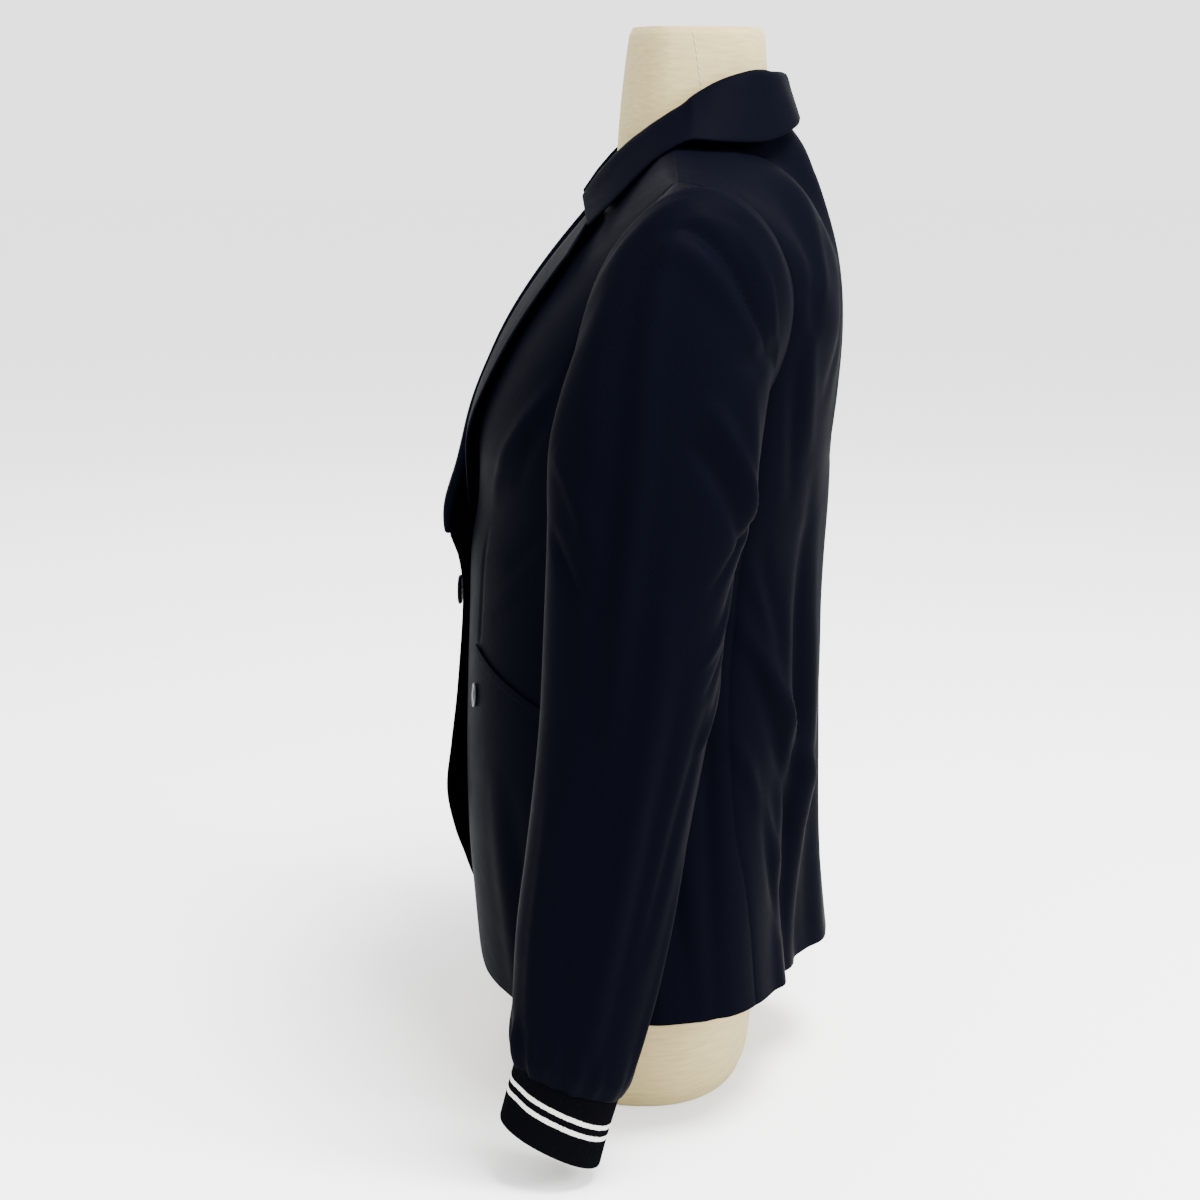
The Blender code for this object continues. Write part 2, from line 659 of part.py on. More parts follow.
def make_sides(cloth):
    """Rows run from the side front seam to the side back seam, and end under the arm."""
    lower = lower_levels()
    grid, normals = [], []
    for i in range(len(lower) + JOIN_ROWS):
        line, directions = [], []
        for j in range(SIDE_COLUMNS + 1):
            step = seam_step(SIDE_FRONT_SEAM, JOIN_Z)
            part = j / SIDE_COLUMNS
            if i < len(lower):
                z = lower[i]
                angle = mix(SIDE_FRONT_SEAM + step, back_seam(z) - step, part)
            else:
                angle = mix(SIDE_FRONT_SEAM + step, SIDE_BACK_SEAM - step, part)
                top = at(ARMHOLE, armhole_meets(angle)).z
                z = mix(JOIN_Z, top, (i + 1 - len(lower)) / JOIN_ROWS)
            line.append(torso_point(angle, z))
            directions.append(torso_normal(angle, z))
        grid.append(line)
        normals.append(directions)
    wall("side_left", grid, CLOTH, cloth, normals)
    wall("side_right", grid, CLOTH, cloth, normals, mirror=True)


def back_neck_angle():
    """The angle of the neck's side on the back."""
    return 180.0 - angle_of_x(NECK_SIDE_X, shoulder_z(NECK_SIDE_X))


def back_top(angle):
    """The height of the back's top edge: the shoulder seam, then the curve of the neck."""
    neck = back_neck_angle()
    if angle < neck:
        return shoulder_level(angle)
    part = (angle - neck) / (180.0 - neck)
    rise = math.sin(math.pi / 2 * part) ** BACK_NECK_POWER
    return mix(shoulder_level(neck), BACK_NECK_Z, rise)


def make_back(cloth):
    """Rows run from one side seam or armhole over the centre back to the other."""
    lower = lower_levels()
    outer = [(back_seam(z) + seam_step(back_seam(z), z), z) for z in lower]
    outer += outer_edge(SIDE_BACK_SEAM, False)
    rising = JOIN_ROWS + UPPER_ROWS
    centre_z = lower + [mix(JOIN_Z, BACK_NECK_Z, (i + 1) / rising) for i in range(rising)]
    tip_angle, tip_z = outer[-1]
    grid, normals = [], []
    for i, (z_in, (angle_out, z_out)) in enumerate(zip(centre_z, outer)):
        rise = ease((i + 1 - len(lower)) / rising) ** 2
        half = []
        for j in range(HALF_BACK_COLUMNS + 1):
            part = j / HALF_BACK_COLUMNS
            angle = mix(angle_out, 180.0, part)
            bow = back_top(mix(tip_angle, 180.0, part)) - mix(tip_z, BACK_NECK_Z, part)
            z = min(mix(z_out, z_in, part) + bow * rise, back_top(angle))
            half.append((torso_point(angle, z), torso_normal(angle, z)))
        other = [(mirrored(p), mirrored(n)) for p, n in reversed(half[:-1])]
        line = half + other
        grid.append([p for p, _ in line])
        normals.append([n for _, n in line])
    wall("back", grid, CLOTH, cloth, normals)


def gorge_rise(t, part):
    """How far the lapel's top bows up at a place across it."""
    bow = math.sin(math.pi * mix(GORGE_INNER, 1.0, part))
    return GORGE_LIFT * bow * ease((t - GORGE_START_T) / (1 - GORGE_START_T))


def make_lapels(cloth):
    for name, right in (("lapel_left", False), ("lapel_right", True)):
        grid = []
        for i in range(LAPEL_ROWS + 1):
            t = i / LAPEL_ROWS
            row = at(LAPEL, t)
            curled = mix(LAPEL_START, 1.0, ease(t / LAPEL_START_T))
            roll_z = row.roll_z + gorge_rise(t, 0.0)
            roll_x = at(ROLL_LINE, roll_z).x
            line = []
            for curl in LAPEL_CURL:
                x = roll_x + curl.across
                point = front_place(angle_of_x(x, roll_z), roll_z, right)
                line.append(point + Vector((0.0, -curl.forward * curled, 0.0)))
            start_x = roll_x + LAPEL_CURL[-1].across
            lift = LAPEL_CURL[-1].forward * curled + LAPEL_FLAT_LIFT * curled
            for j in range(1, LAPEL_FLAT_COLUMNS + 1):
                part = j / LAPEL_FLAT_COLUMNS
                x = mix(start_x, row.edge_x, part)
                z = mix(row.roll_z, row.edge_z, part) + gorge_rise(t, part)
                forward = mix(lift, row.stand, part)
                point = front_place(angle_of_x(x, z), z, right)
                line.append(point + Vector((0.0, -forward, 0.0)))
            grid.append(line)
        wall(name, grid, COLLAR_CLOTH, cloth, mirror=right)


def collar_seam(t):
    """The neck edge that the collar is sewn to, from the centre back to the collar's front end."""
    if t < COLLAR_SHOULDER_T:
        angle = mix(180.0, back_neck_angle(), t / COLLAR_SHOULDER_T)
        return torso_point(angle, back_top(angle))
    part = (t - COLLAR_SHOULDER_T) / (1 - COLLAR_SHOULDER_T)
    z = mix(shoulder_z(NECK_SIDE_X), COLLAR_FRONT_Z, part)
    return torso_point(angle_of_x(front_edge_x(z), z), z)


def collar_section(t):
    """Across the collar: up its stand, round the fold and down to its outer edge."""
    row = at(COLLAR, t)
    fold = Vector((row.fold_x, row.fold_y, row.fold_z))
    edge = Vector((row.edge_x, row.edge_y, row.edge_z))
    seam = collar_seam(t)
    seam += (fold - seam).normalized() * COLLAR_LIFT
    down = (edge - fold).normalized()
    up = (fold - seam).normalized()
    aside = (down - up * down.dot(up)).normalized()
    section = [seam, seam.lerp(fold, 0.5), fold - up * COLLAR_FOLD_RADIUS]
    section.append(fold + aside * COLLAR_FOLD_RADIUS * COLLAR_FOLD_REACH)
    start = fold + (aside * COLLAR_FALL_REACH - up * COLLAR_FALL_DROP) * COLLAR_FOLD_RADIUS
    section.append(start)
    section += [start.lerp(edge, part) for part in COLLAR_FALL_PARTS]
    return section


def make_collar(cloth):
    half = [collar_section(i / COLLAR_HALF_ROWS) for i in range(COLLAR_HALF_ROWS + 1)]
    other = [[mirrored(p) for p in section] for section in reversed(half[1:])]
    wall("collar", other + half, COLLAR_CLOTH, cloth)


def sleeve_places():
    """Places round the sleeve's armhole, each one at a row or column of the panels beside it."""
    places = []
    foot_back = armhole_meets(SIDE_BACK_SEAM)
    foot_front = armhole_meets(SIDE_FRONT_SEAM)
    for i in range(UPPER_ROWS):
        places.append((mix(1.0, foot_back, i / UPPER_ROWS), True))
    for j in range(SIDE_COLUMNS):
        angle = mix(SIDE_BACK_SEAM, SIDE_FRONT_SEAM, j / SIDE_COLUMNS)
        places.append((armhole_meets(angle), angle > 90))
    for i in range(UPPER_ROWS):
        places.append((mix(foot_front, 1.0, i / UPPER_ROWS), False))
    return places


def armhole_ring(places):
    """The sleeve's first ring, a seam's gap beyond the armhole."""
    sideways = Vector((1.0, 0.0, 0.0))
    ring = []
    for t, back in places:
        angle, z = armhole_place(t, back)
        turn = math.radians(angle)
        outward = Vector((abs(math.cos(turn)), math.sin(turn) * math.cos(turn), 0.0))
        turned = 1 - ease((t - CAP_TURN_T) / (1 - CAP_TURN_T))
        under = 1 - ease(t / UNDERARM_T)
        direction = (outward * turned + sideways).normalized().lerp(sideways, under).normalized()
        gap = ARMHOLE_GAP + UNDERARM_GAP * under
        ring.append(torso_point(angle, z) + direction * gap)
    return ring


def ring_angles(places):
    """The angle round the sleeve of each place, from its outer side and over the back."""
    return [180.0 * (1 - t) if back else 180.0 * (1 + t) for t, back in places]


def sleeve_ring(row, angles, folds, along):
    """A flattened ring through a sleeve row's four places, flatter at the sleeve's head."""
    power = mix(CAP_POWER, SLEEVE_POWER, ease(along / CAP_END_T)) if folds else SLEEVE_POWER
    centre_xz = ((row.outer_x + row.inner_x) / 2, (row.outer_z + row.inner_z) / 2)
    centre_yz = ((row.front_y + row.back_y) / 2, (row.front_z + row.back_z) / 2)
    centre = Vector((centre_xz[0], centre_yz[0], (centre_xz[1] + centre_yz[1]) / 2))
    outward = Vector(((row.outer_x - row.inner_x) / 2, 0.0, (row.outer_z - row.inner_z) / 2))
    backward = Vector((0.0, (row.back_y - row.front_y) / 2, (row.back_z - row.front_z) / 2))
    ring = []
    for angle in angles:
        side, ahead = ring_place(angle, power)
        spoke = outward * ahead + backward * side
        signed = angle - 360.0 if angle > 180.0 else angle
        out = fold_height(folds, signed, along)
        if folds and along > GATHER_START:
            wave = math.sin(math.radians(angle * GATHERS))
            out += GATHER_HEIGHT * wave * (along - GATHER_START) / (1 - GATHER_START)
        ring.append(centre + spoke * (1 + out / spoke.length))
    return ring


def make_sleeves(cloth):
    places = sleeve_places()
    angles = ring_angles(places)
    rings = [armhole_ring(places)]
    for i in range(SLEEVE_RINGS):
        along = i / (SLEEVE_RINGS - 1)
        rings.append(sleeve_ring(at(SLEEVE, along), angles, SLEEVE_FOLDS, along))
    rings.reverse()
    wall("sleeve_left", rings, CLOTH, cloth, closed=True)
    wall("sleeve_right", rings, CLOTH, cloth, closed=True, mirror=True)


def make_cuffs(knit):
    sides = CUFF_RIBS * 2
    angles = [360.0 * k / sides for k in range(sides)]
    rings = []
    for i in range(CUFF_RINGS):
        along = 1 - i / (CUFF_RINGS - 1)
        rings.append(sleeve_ring(at(CUFF, along), angles, (), along))
    relief = [[CUFF_RIB_HEIGHT * (k % 2) for k in range(sides)] for _ in rings]
    wall("cuff_left", rings, CUFF_CLOTH, knit, closed=True, relief=relief)
    wall("cuff_right", rings, CUFF_CLOTH, knit, closed=True, relief=relief, mirror=True)


def make_welts(cloth):
    out = CLOTH / 2 + SEAM_GAP + WELT_CLOTH / 2
    for name, right in (("welt_left", False), ("welt_right", True)):
        grid = []
        for i in range(2):
            line = []
            for j in range(WELT_COLUMNS + 1):
                part = j / WELT_COLUMNS
                angle = mix(WELT_FRONT_ANGLE, WELT_BACK_ANGLE, part)
                z = mix(WELT_FRONT_Z, WELT_BACK_Z, part) + (i - 1) * WELT_WIDTH
                point = front_place(angle, z, right)
                line.append(point + torso_normal(angle, z) * out)
            grid.append(line)
        wall(name, grid, WELT_CLOTH, cloth, mirror=right)


def make_disc(name, centre, normal, sizes, sides, finish):
    """A low domed disc that lies on a surface. Its sizes are half width, half height and depth."""
    half_width, half_height, depth = sizes
    aside = Vector((0.0, 0.0, 1.0)).cross(normal).normalized()
    up = normal.cross(aside).normalized()
    points, faces = [], []
    for lift, size in DISC_PROFILE:
        for k in range(sides):
            turn = 2 * math.pi * k / sides
            spot = aside * half_width * math.cos(turn) + up * half_height * math.sin(turn)
            points.append(centre + spot * size + normal * depth * lift)
    for level in range(len(DISC_PROFILE) - 1):
        for k in range(sides):
            a, b = level * sides + k, level * sides + (k + 1) % sides
            faces.append((a, b, b + sides, a + sides))
    faces.append(tuple(range(sides)))
    top = (len(DISC_PROFILE) - 1) * sides
    faces.append(tuple(range(top, top + sides)))
    return add_mesh(name, points, faces, finish)


def make_stud(metal):
    z = STUD_Z
    normal = torso_normal(STUD_ANGLE, z)
    seat = torso_point(STUD_ANGLE, z) + normal * (CLOTH / 2 + SEAM_GAP)
    sizes = (STUD_HALF_WIDTH, STUD_HALF_HEIGHT, STUD_DEPTH)
    make_disc("stud", seat, normal, sizes, STUD_SIDES, metal)


def make_button(resin):
    place = front_place(0.0, BUTTON_Z, True)
    along = front_place(BUTTON_TILT_ANGLE, BUTTON_Z, True)
    along -= front_place(-BUTTON_TILT_ANGLE, BUTTON_Z, True)
    up = front_place(0.0, BUTTON_Z + BUTTON_TILT_Z, True)
    up -= front_place(0.0, BUTTON_Z - BUTTON_TILT_Z, True)
    normal = mirrored(along.cross(up).normalized())
    seat = place + normal * (CLOTH / 2 + BUTTON_LIFT)
    sizes = (BUTTON_RADIUS, BUTTON_RADIUS, BUTTON_DEPTH)
    make_disc("button", seat, normal, sizes, BUTTON_SIDES, resin)


def form_point(row, angle):
    """A point of the dress form, held back inside the cloth above it."""
    side, ahead = ring_place(angle, row.power)
    middle_y = FORM_CHEST_MIDDLE_Y if row.z > FORM_CHEST_Z else FORM_HIP_MIDDLE_Y
    depth = middle_y - row.front_y if ahead > 0 else row.back_y - middle_y
    x = row.half_width * side
    y = middle_y - depth * ahead
    if row.z < FORM_NECK_BASE_Z and abs(x) < at(TORSO, row.z).half_width:
        spare = FORM_NECK_CLEARANCE * (1 - ease((abs(x) - FORM_NECK_X) / FORM_NECK_FADE))
        cover_z = row.z + FORM_DROP + spare
        turn = angle_of_x(abs(x), cover_z)
        front = torso_point(turn, cover_z).y + FORM_CLEARANCE + spare
        back = torso_point(180.0 - turn, cover_z).y - FORM_CLEARANCE - spare
        inside = abs(x) - at(ROLL_LINE, row.z).x + FORM_OPENING_MARGIN
        y = mix(y, max(y, front), ease(inside / FORM_OPENING_FADE))
        y = min(y, back)
    return Vector((x, y, row.z))


def make_form(linen):
    points, faces = [], []
    for row in FORM:
        for k in range(FORM_SIDES):
            points.append(form_point(row, 360.0 * (k + 0.5) / FORM_SIDES - 180.0))
    for level in range(len(FORM) - 1):
        for k in range(FORM_SIDES):
            a = level * FORM_SIDES + k
            b = level * FORM_SIDES + (k + 1) % FORM_SIDES
            faces.append((a, b, b + FORM_SIDES, a + FORM_SIDES))
    faces.append(tuple(range(FORM_SIDES)))
    faces.append(tuple(range((len(FORM) - 1) * FORM_SIDES, len(FORM) * FORM_SIDES)))
    add_mesh("dress_form", points, faces, linen)


def main():
    for old in list(bpy.data.objects):
        bpy.data.objects.remove(old)
    cloth = material("black_stretch_cloth", (0.006, 0.007, 0.010), 0.62)
    knit = material("black_rib_knit", (0.008, 0.008, 0.010), 0.85)
    linen = material("natural_linen", (0.62, 0.57, 0.46), 0.85)
    metal = material("gunmetal", (0.30, 0.30, 0.32), 0.35, 1.0)
    resin = material("black_resin", (0.010, 0.010, 0.012), 0.35)
    make_form(linen)
    make_fronts(cloth)
    make_sides(cloth)
    make_back(cloth)
    make_lapels(cloth)
    make_collar(cloth)
    make_sleeves(cloth)
    make_cuffs(knit)
    make_welts(cloth)
    make_stud(metal)
    make_button(resin)


main()
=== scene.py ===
"""A fitted black blazer on a limbless dress form, with its cloth, knit, metal and light.

Units are metres. +Z is up, the garment faces -Y and the wearer's left side is +X. Every panel is
made again on the same torso surface as its solid, finer, with the creases that the cloth hangs
in. The right front laps over the left one, and the fastened button holds them.
"""

import logging
import math
from dataclasses import dataclass, field
from enum import Enum
from typing import Any, Callable, NamedTuple, Optional, Sequence

import bmesh
import bpy
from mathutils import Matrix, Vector


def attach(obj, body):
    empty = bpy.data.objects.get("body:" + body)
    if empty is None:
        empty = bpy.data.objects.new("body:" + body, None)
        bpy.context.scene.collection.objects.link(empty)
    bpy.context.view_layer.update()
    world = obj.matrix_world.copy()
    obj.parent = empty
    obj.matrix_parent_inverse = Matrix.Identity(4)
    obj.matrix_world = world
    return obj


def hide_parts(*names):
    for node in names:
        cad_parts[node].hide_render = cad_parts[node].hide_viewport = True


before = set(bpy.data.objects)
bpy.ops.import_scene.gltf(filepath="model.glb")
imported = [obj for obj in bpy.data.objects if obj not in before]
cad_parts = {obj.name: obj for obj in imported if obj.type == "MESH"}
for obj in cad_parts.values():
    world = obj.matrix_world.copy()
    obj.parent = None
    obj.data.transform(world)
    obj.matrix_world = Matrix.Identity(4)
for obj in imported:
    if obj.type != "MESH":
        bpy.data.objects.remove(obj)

log = logging.getLogger("blazer")

Grid = list[list[Vector]]
Heights = list[list[float]]
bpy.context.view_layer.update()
FORM_NAME = "dress_form_covered"
ROOT_TWO = 1.414
# How far apart a wave texture's bands lie at a scale of 1: straight, and as x + y on a diagonal
STRAIGHT_REPEAT = 0.314
DIAGONAL_REPEAT = 0.628


class Side(Enum):
    """The two sides of the wearer."""

    LEFT = "left"
    RIGHT = "right"


class Hold(Enum):
    DRAPED = "draped"
    HUNG = "hung"
    GATHERED = "gathered"
    FOLDED = "folded"
    STRETCHED = "stretched"


# Colours, nodes and finishes


def linear(hex_colour: str) -> tuple[float, float, float, float]:
    """Turns an sRGB hex colour into linear values.

    Args:
        hex_colour: Six hex digits, such as "D8D0BE".

    Returns:
        Red, green, blue and an alpha of 1.
    """
    values = []
    for start in (0, 2, 4):
        part = int(hex_colour[start : start + 2], 16) / 255
        values.append(part / 12.92 if part <= 0.04045 else ((part + 0.055) / 1.055) ** 2.4)
    return values[0], values[1], values[2], 1.0


def add_node(
    tree: bpy.types.NodeTree,
    kind: str,
    settings: Optional[dict[str, Any]] = None,
    values: Optional[dict[Any, Any]] = None,
    links: Optional[dict[Any, bpy.types.NodeSocket]] = None,
) -> bpy.types.Node:
    """Adds a node with its settings, its socket values and what is linked into it.

    Args:
        tree: The material's node tree.
        kind: The node's type name without "ShaderNode".
        settings: Attributes of the node itself.
        values: Values by input socket.
        links: Output sockets by input socket.

    Returns:
        The new node.
    """
    node = tree.nodes.new("ShaderNode" + kind)
    for name, value in (settings or {}).items():
        setattr(node, name, value)
    for socket, value in (values or {}).items():
        node.inputs[socket].default_value = value
    for socket, source in (links or {}).items():
        tree.links.new(source, node.inputs[socket])
    return node


def new_material(name: str) -> tuple[bpy.types.Material, bpy.types.NodeTree, bpy.types.Node]:
    """Makes an empty material with one Principled shader.

    Args:
        name: The material's name.

    Returns:
        The material, its node tree and its shader.
    """
    material = bpy.data.materials.new(name)
    material.use_nodes = True
    tree = material.node_tree
    return material, tree, tree.nodes["Principled BSDF"]


@dataclass(frozen=True)
class StretchSuiting:
    """Black polyester and elastane suiting, twill woven and heat set.

    It is close to black with a little blue in it. Its smooth yarns give wide, soft lights on
    ridges and a very fine diagonal grain.
    """

    name: str = "stretch_suiting_twill"
    dark: str = "020206"
    light: str = "04050B"
    twill_mm: float = 1.1  # the real line is 0.4 mm, drawn coarser so that it shows
    grain_mm: float = 0.9
    pucker_mm: float = 26.0
    roughness: float = 0.52
    specular: float = 0.004
    sheen: float = 0.002

    def make(self) -> bpy.types.Material:
        """Builds the material.

        Returns:
            The material.
        """
        material, tree, shader = new_material(self.name)
        place = add_node(tree, "UVMap").outputs["UV"]
        twill = add_node(
            tree,
            "TexWave",
            {"wave_type": "BANDS", "bands_direction": "DIAGONAL"},
            {
                "Scale": DIAGONAL_REPEAT / (self.twill_mm * 0.001 * ROOT_TWO),
                "Distortion": 0.6,
                "Detail": 1.0,
            },
            {"Vector": place},
        )
        grain = add_node(
            tree, "TexNoise", {}, {"Scale": 1000 / self.grain_mm, "Detail": 2.0}, {"Vector": place}
        )
        pucker = add_node(
            tree, "TexNoise", {}, {"Scale": 1000 / self.pucker_mm, "Detail": 3.0}, {"Vector": place}
        )
        tone = add_node(
            tree,
            "Mix",
            {"data_type": "RGBA"},
            {6: linear(self.dark), 7: linear(self.light)},
            {0: grain.outputs["Fac"]},
        )
        polish = add_node(
            tree,
            "MapRange",
            {},
            {"To Min": self.roughness - 0.05, "To Max": self.roughness + 0.07},
            {"Value": pucker.outputs["Fac"]},
        )
        soft = add_node(
            tree, "Bump", {}, {"Strength": 0.35, "Distance": 0.0012}, {"Height": pucker.outputs["Fac"]}
        )
        rough = add_node(
            tree,
            "Bump",
            {},
            {"Strength": 0.22, "Distance": 0.00018},
            {"Height": grain.outputs["Fac"], "Normal": soft.outputs["Normal"]},
        )
        lines = add_node(
            tree,
            "Bump",
            {},
            {"Strength": 0.20, "Distance": 0.00016},
            {"Height": twill.outputs["Fac"], "Normal": rough.outputs["Normal"]},
        )
        tree.links.new(tone.outputs[2], shader.inputs["Base Color"])
        tree.links.new(polish.outputs["Result"], shader.inputs["Roughness"])
        tree.links.new(lines.outputs["Normal"], shader.inputs["Normal"])
        shader.inputs["Specular IOR Level"].default_value = self.specular
        shader.inputs["Sheen Weight"].default_value = self.sheen
        shader.inputs["Sheen Roughness"].default_value = 0.45
        shader.inputs["Sheen Tint"].default_value = linear("AEB2C4")
        return material


@dataclass(frozen=True)
class RibKnit:
    """Cotton and elastane rib, knitted as a band with two white stripes in it.

    It is matte and a little fuzzy. The stripes run along the knitted rows, so their edges step
    from rib to rib.
    """

    name: str = "rib_knit_cotton"
    black: str = "030305"
    white: str = "C9C8C4"
    stripe_centres_mm: tuple[float, float] = (21.4, 29.6)
    stripe_width_mm: float = 3.3
    stitch_mm: float = 0.65
    roughness: float = 0.9

    def make(self) -> bpy.types.Material:
        """Builds the material.

        Returns:
            The material.
        """
        material, tree, shader = new_material(self.name)
        place = add_node(tree, "UVMap").outputs["UV"]
        parts = add_node(tree, "SeparateXYZ", {}, {}, {"Vector": place})
        step = add_node(tree, "TexNoise", {}, {"Scale": 620.0, "Detail": 1.0}, {"Vector": place})
        wander = add_node(
            tree, "MapRange", {}, {"To Min": -0.0005, "To Max": 0.0005}, {"Value": step.outputs["Fac"]}
        )
        height = add_node(
            tree, "Math", {"operation": "ADD"}, {}, {0: parts.outputs["Y"], 1: wander.outputs["Result"]}
        )
        masks = []
        for centre in self.stripe_centres_mm:
            mask = add_node(
                tree,
                "Math",
                {"operation": "COMPARE"},
                {1: centre * 0.001, 2: self.stripe_width_mm * 0.0005},
                {0: height.outputs[0]},
            )
            masks.append(mask.outputs[0])
        both = add_node(tree, "Math", {"operation": "MAXIMUM"}, {}, {0: masks[0], 1: masks[1]})
        colour = add_node(
            tree,
            "Mix",
            {"data_type": "RGBA"},
            {6: linear(self.black), 7: linear(self.white)},
            {0: both.outputs[0]},
        )
        courses = add_node(
            tree,
            "TexWave",
            {"wave_type": "BANDS", "bands_direction": "Y"},
            {
                "Scale": STRAIGHT_REPEAT / (self.stitch_mm * 0.001),
                "Distortion": 1.5,
                "Detail Scale": 40.0,
            },
            {"Vector": place},
        )
        fuzz = add_node(tree, "TexNoise", {}, {"Scale": 1500.0, "Detail": 3.0}, {"Vector": place})
        loops = add_node(
            tree, "Bump", {}, {"Strength": 0.5, "Distance": 0.0003}, {"Height": courses.outputs["Fac"]}
        )
        nap = add_node(
            tree,
            "Bump",
            {},
            {"Strength": 0.4, "Distance": 0.0002},
            {"Height": fuzz.outputs["Fac"], "Normal": loops.outputs["Normal"]},
        )
        tree.links.new(colour.outputs[2], shader.inputs["Base Color"])
        tree.links.new(nap.outputs["Normal"], shader.inputs["Normal"])
        shader.inputs["Roughness"].default_value = self.roughness
        shader.inputs["Specular IOR Level"].default_value = 0.01
        shader.inputs["Sheen Weight"].default_value = 0.002
        return material


@dataclass(frozen=True)
class LinenCover:
    """Natural linen, plain woven, drawn tight over a moulded form.

    Thick and thin yarns give it uneven cross lines, and the cream is a little darker between
    them.
    """

    name: str = "linen_plain_weave"
    light: str = "A6976B"
    dark: str = "8E8057"
    thread_mm: float = 0.65  # the real thread is 0.5 mm, drawn coarser so that it shows
    slub_mm: float = 7.0
    roughness: float = 0.88

    def make(self) -> bpy.types.Material:
        """Builds the material.

        Returns:
            The material.
        """
        material, tree, shader = new_material(self.name)
        place = add_node(tree, "UVMap").outputs["UV"]
        waves = []
        for axis in ("X", "Y"):
            wave = add_node(
                tree,
                "TexWave",
                {"wave_type": "BANDS", "bands_direction": axis},
                {
                    "Scale": STRAIGHT_REPEAT / (self.thread_mm * 0.001),
                    "Distortion": 2.2,
                    "Detail": 2.0,
                    "Detail Scale": 1.2,
                },
                {"Vector": place},
            )
            waves.append(wave.outputs["Fac"])
        cross = add_node(tree, "Math", {"operation": "MULTIPLY"}, {}, {0: waves[0], 1: waves[1]})
        stretched = add_node(tree, "Mapping", {}, {"Scale": (1.0, 9.0, 1.0)}, {"Vector": place})
        slub = add_node(
            tree,
            "TexNoise",
            {},
            {"Scale": 1000 / self.slub_mm / 3, "Detail": 4.0},
            {"Vector": stretched.outputs["Vector"]},
        )
        blend = add_node(
            tree,
            "Math",
            {"operation": "MULTIPLY_ADD"},
            {1: 0.5},
            {0: cross.outputs[0], 2: slub.outputs["Fac"]},
        )
        ramp = add_node(
            tree, "MapRange", {}, {"From Min": 0.35, "From Max": 0.95}, {"Value": blend.outputs[0]}
        )
        colour = add_node(
            tree,
            "Mix",
            {"data_type": "RGBA"},
            {6: linear(self.dark), 7: linear(self.light)},
            {0: ramp.outputs["Result"]},
        )
        weave = add_node(
            tree, "Bump", {}, {"Strength": 0.45, "Distance": 0.0003}, {"Height": blend.outputs[0]}
        )
        tree.links.new(colour.outputs[2], shader.inputs["Base Color"])
        tree.links.new(weave.outputs["Normal"], shader.inputs["Normal"])
        shader.inputs["Roughness"].default_value = self.roughness
        shader.inputs["Specular IOR Level"].default_value = 0.25
        shader.inputs["Sheen Weight"].default_value = 0.05
        return material


@dataclass(frozen=True)
class Gunmetal:
    """Zinc alloy, die cast, plated dark and brushed.

    It is a dark grey metal whose fine brush lines stretch its lights.
    """

    name: str = "gunmetal_plated_zinc"
    colour: str = "2E2F34"
    brush_mm: float = 0.5
    roughness: float = 0.34

    def make(self) -> bpy.types.Material:
        """Builds the material.

        Returns:
            The material.
        """
        material, tree, shader = new_material(self.name)
        place = add_node(tree, "TexCoord").outputs["Object"]
        stretched = add_node(tree, "Mapping", {}, {"Scale": (1.0, 1.0, 0.12)}, {"Vector": place})
        brush = add_node(
            tree,
            "TexNoise",
            {},
            {"Scale": 1000 / self.brush_mm, "Detail": 2.0},
            {"Vector": stretched.outputs["Vector"]},
        )
        polish = add_node(
            tree,
            "MapRange",
            {},
            {"To Min": self.roughness - 0.08, "To Max": self.roughness + 0.12},
            {"Value": brush.outputs["Fac"]},
        )
        lines = add_node(
            tree, "Bump", {}, {"Strength": 0.25, "Distance": 0.00008}, {"Height": brush.outputs["Fac"]}
        )
        shader.inputs["Base Color"].default_value = linear(self.colour)
        shader.inputs["Metallic"].default_value = 1.0
        tree.links.new(polish.outputs["Result"], shader.inputs["Roughness"])
        tree.links.new(lines.outputs["Normal"], shader.inputs["Normal"])
        return material


@dataclass(frozen=True)
class CastResin:
    """Polyester resin, cast, turned and tumbled.

    It is black with soft lights and the faint waves that tumbling leaves.
    """

    name: str = "cast_resin_tumbled"
    colour: str = "030304"
    wave_mm: float = 2.5
    roughness: float = 0.40

    def make(self) -> bpy.types.Material:
        """Builds the material.

        Returns:
            The material.
        """
        material, tree, shader = new_material(self.name)
        place = add_node(tree, "TexCoord").outputs["Object"]
        wave = add_node(
            tree, "TexNoise", {}, {"Scale": 1000 / self.wave_mm, "Detail": 2.0}, {"Vector": place}
        )
        polish = add_node(
            tree,
            "MapRange",
            {},
            {"To Min": self.roughness - 0.05, "To Max": self.roughness + 0.10},
            {"Value": wave.outputs["Fac"]},
        )
        dents = add_node(
            tree, "Bump", {}, {"Strength": 0.15, "Distance": 0.0002}, {"Height": wave.outputs["Fac"]}
        )
        shader.inputs["Base Color"].default_value = linear(self.colour)
        shader.inputs["IOR"].default_value = 1.54
        shader.inputs["Specular IOR Level"].default_value = 0.04
        tree.links.new(polish.outputs["Result"], shader.inputs["Roughness"])
        tree.links.new(dents.outputs["Normal"], shader.inputs["Normal"])
        return material


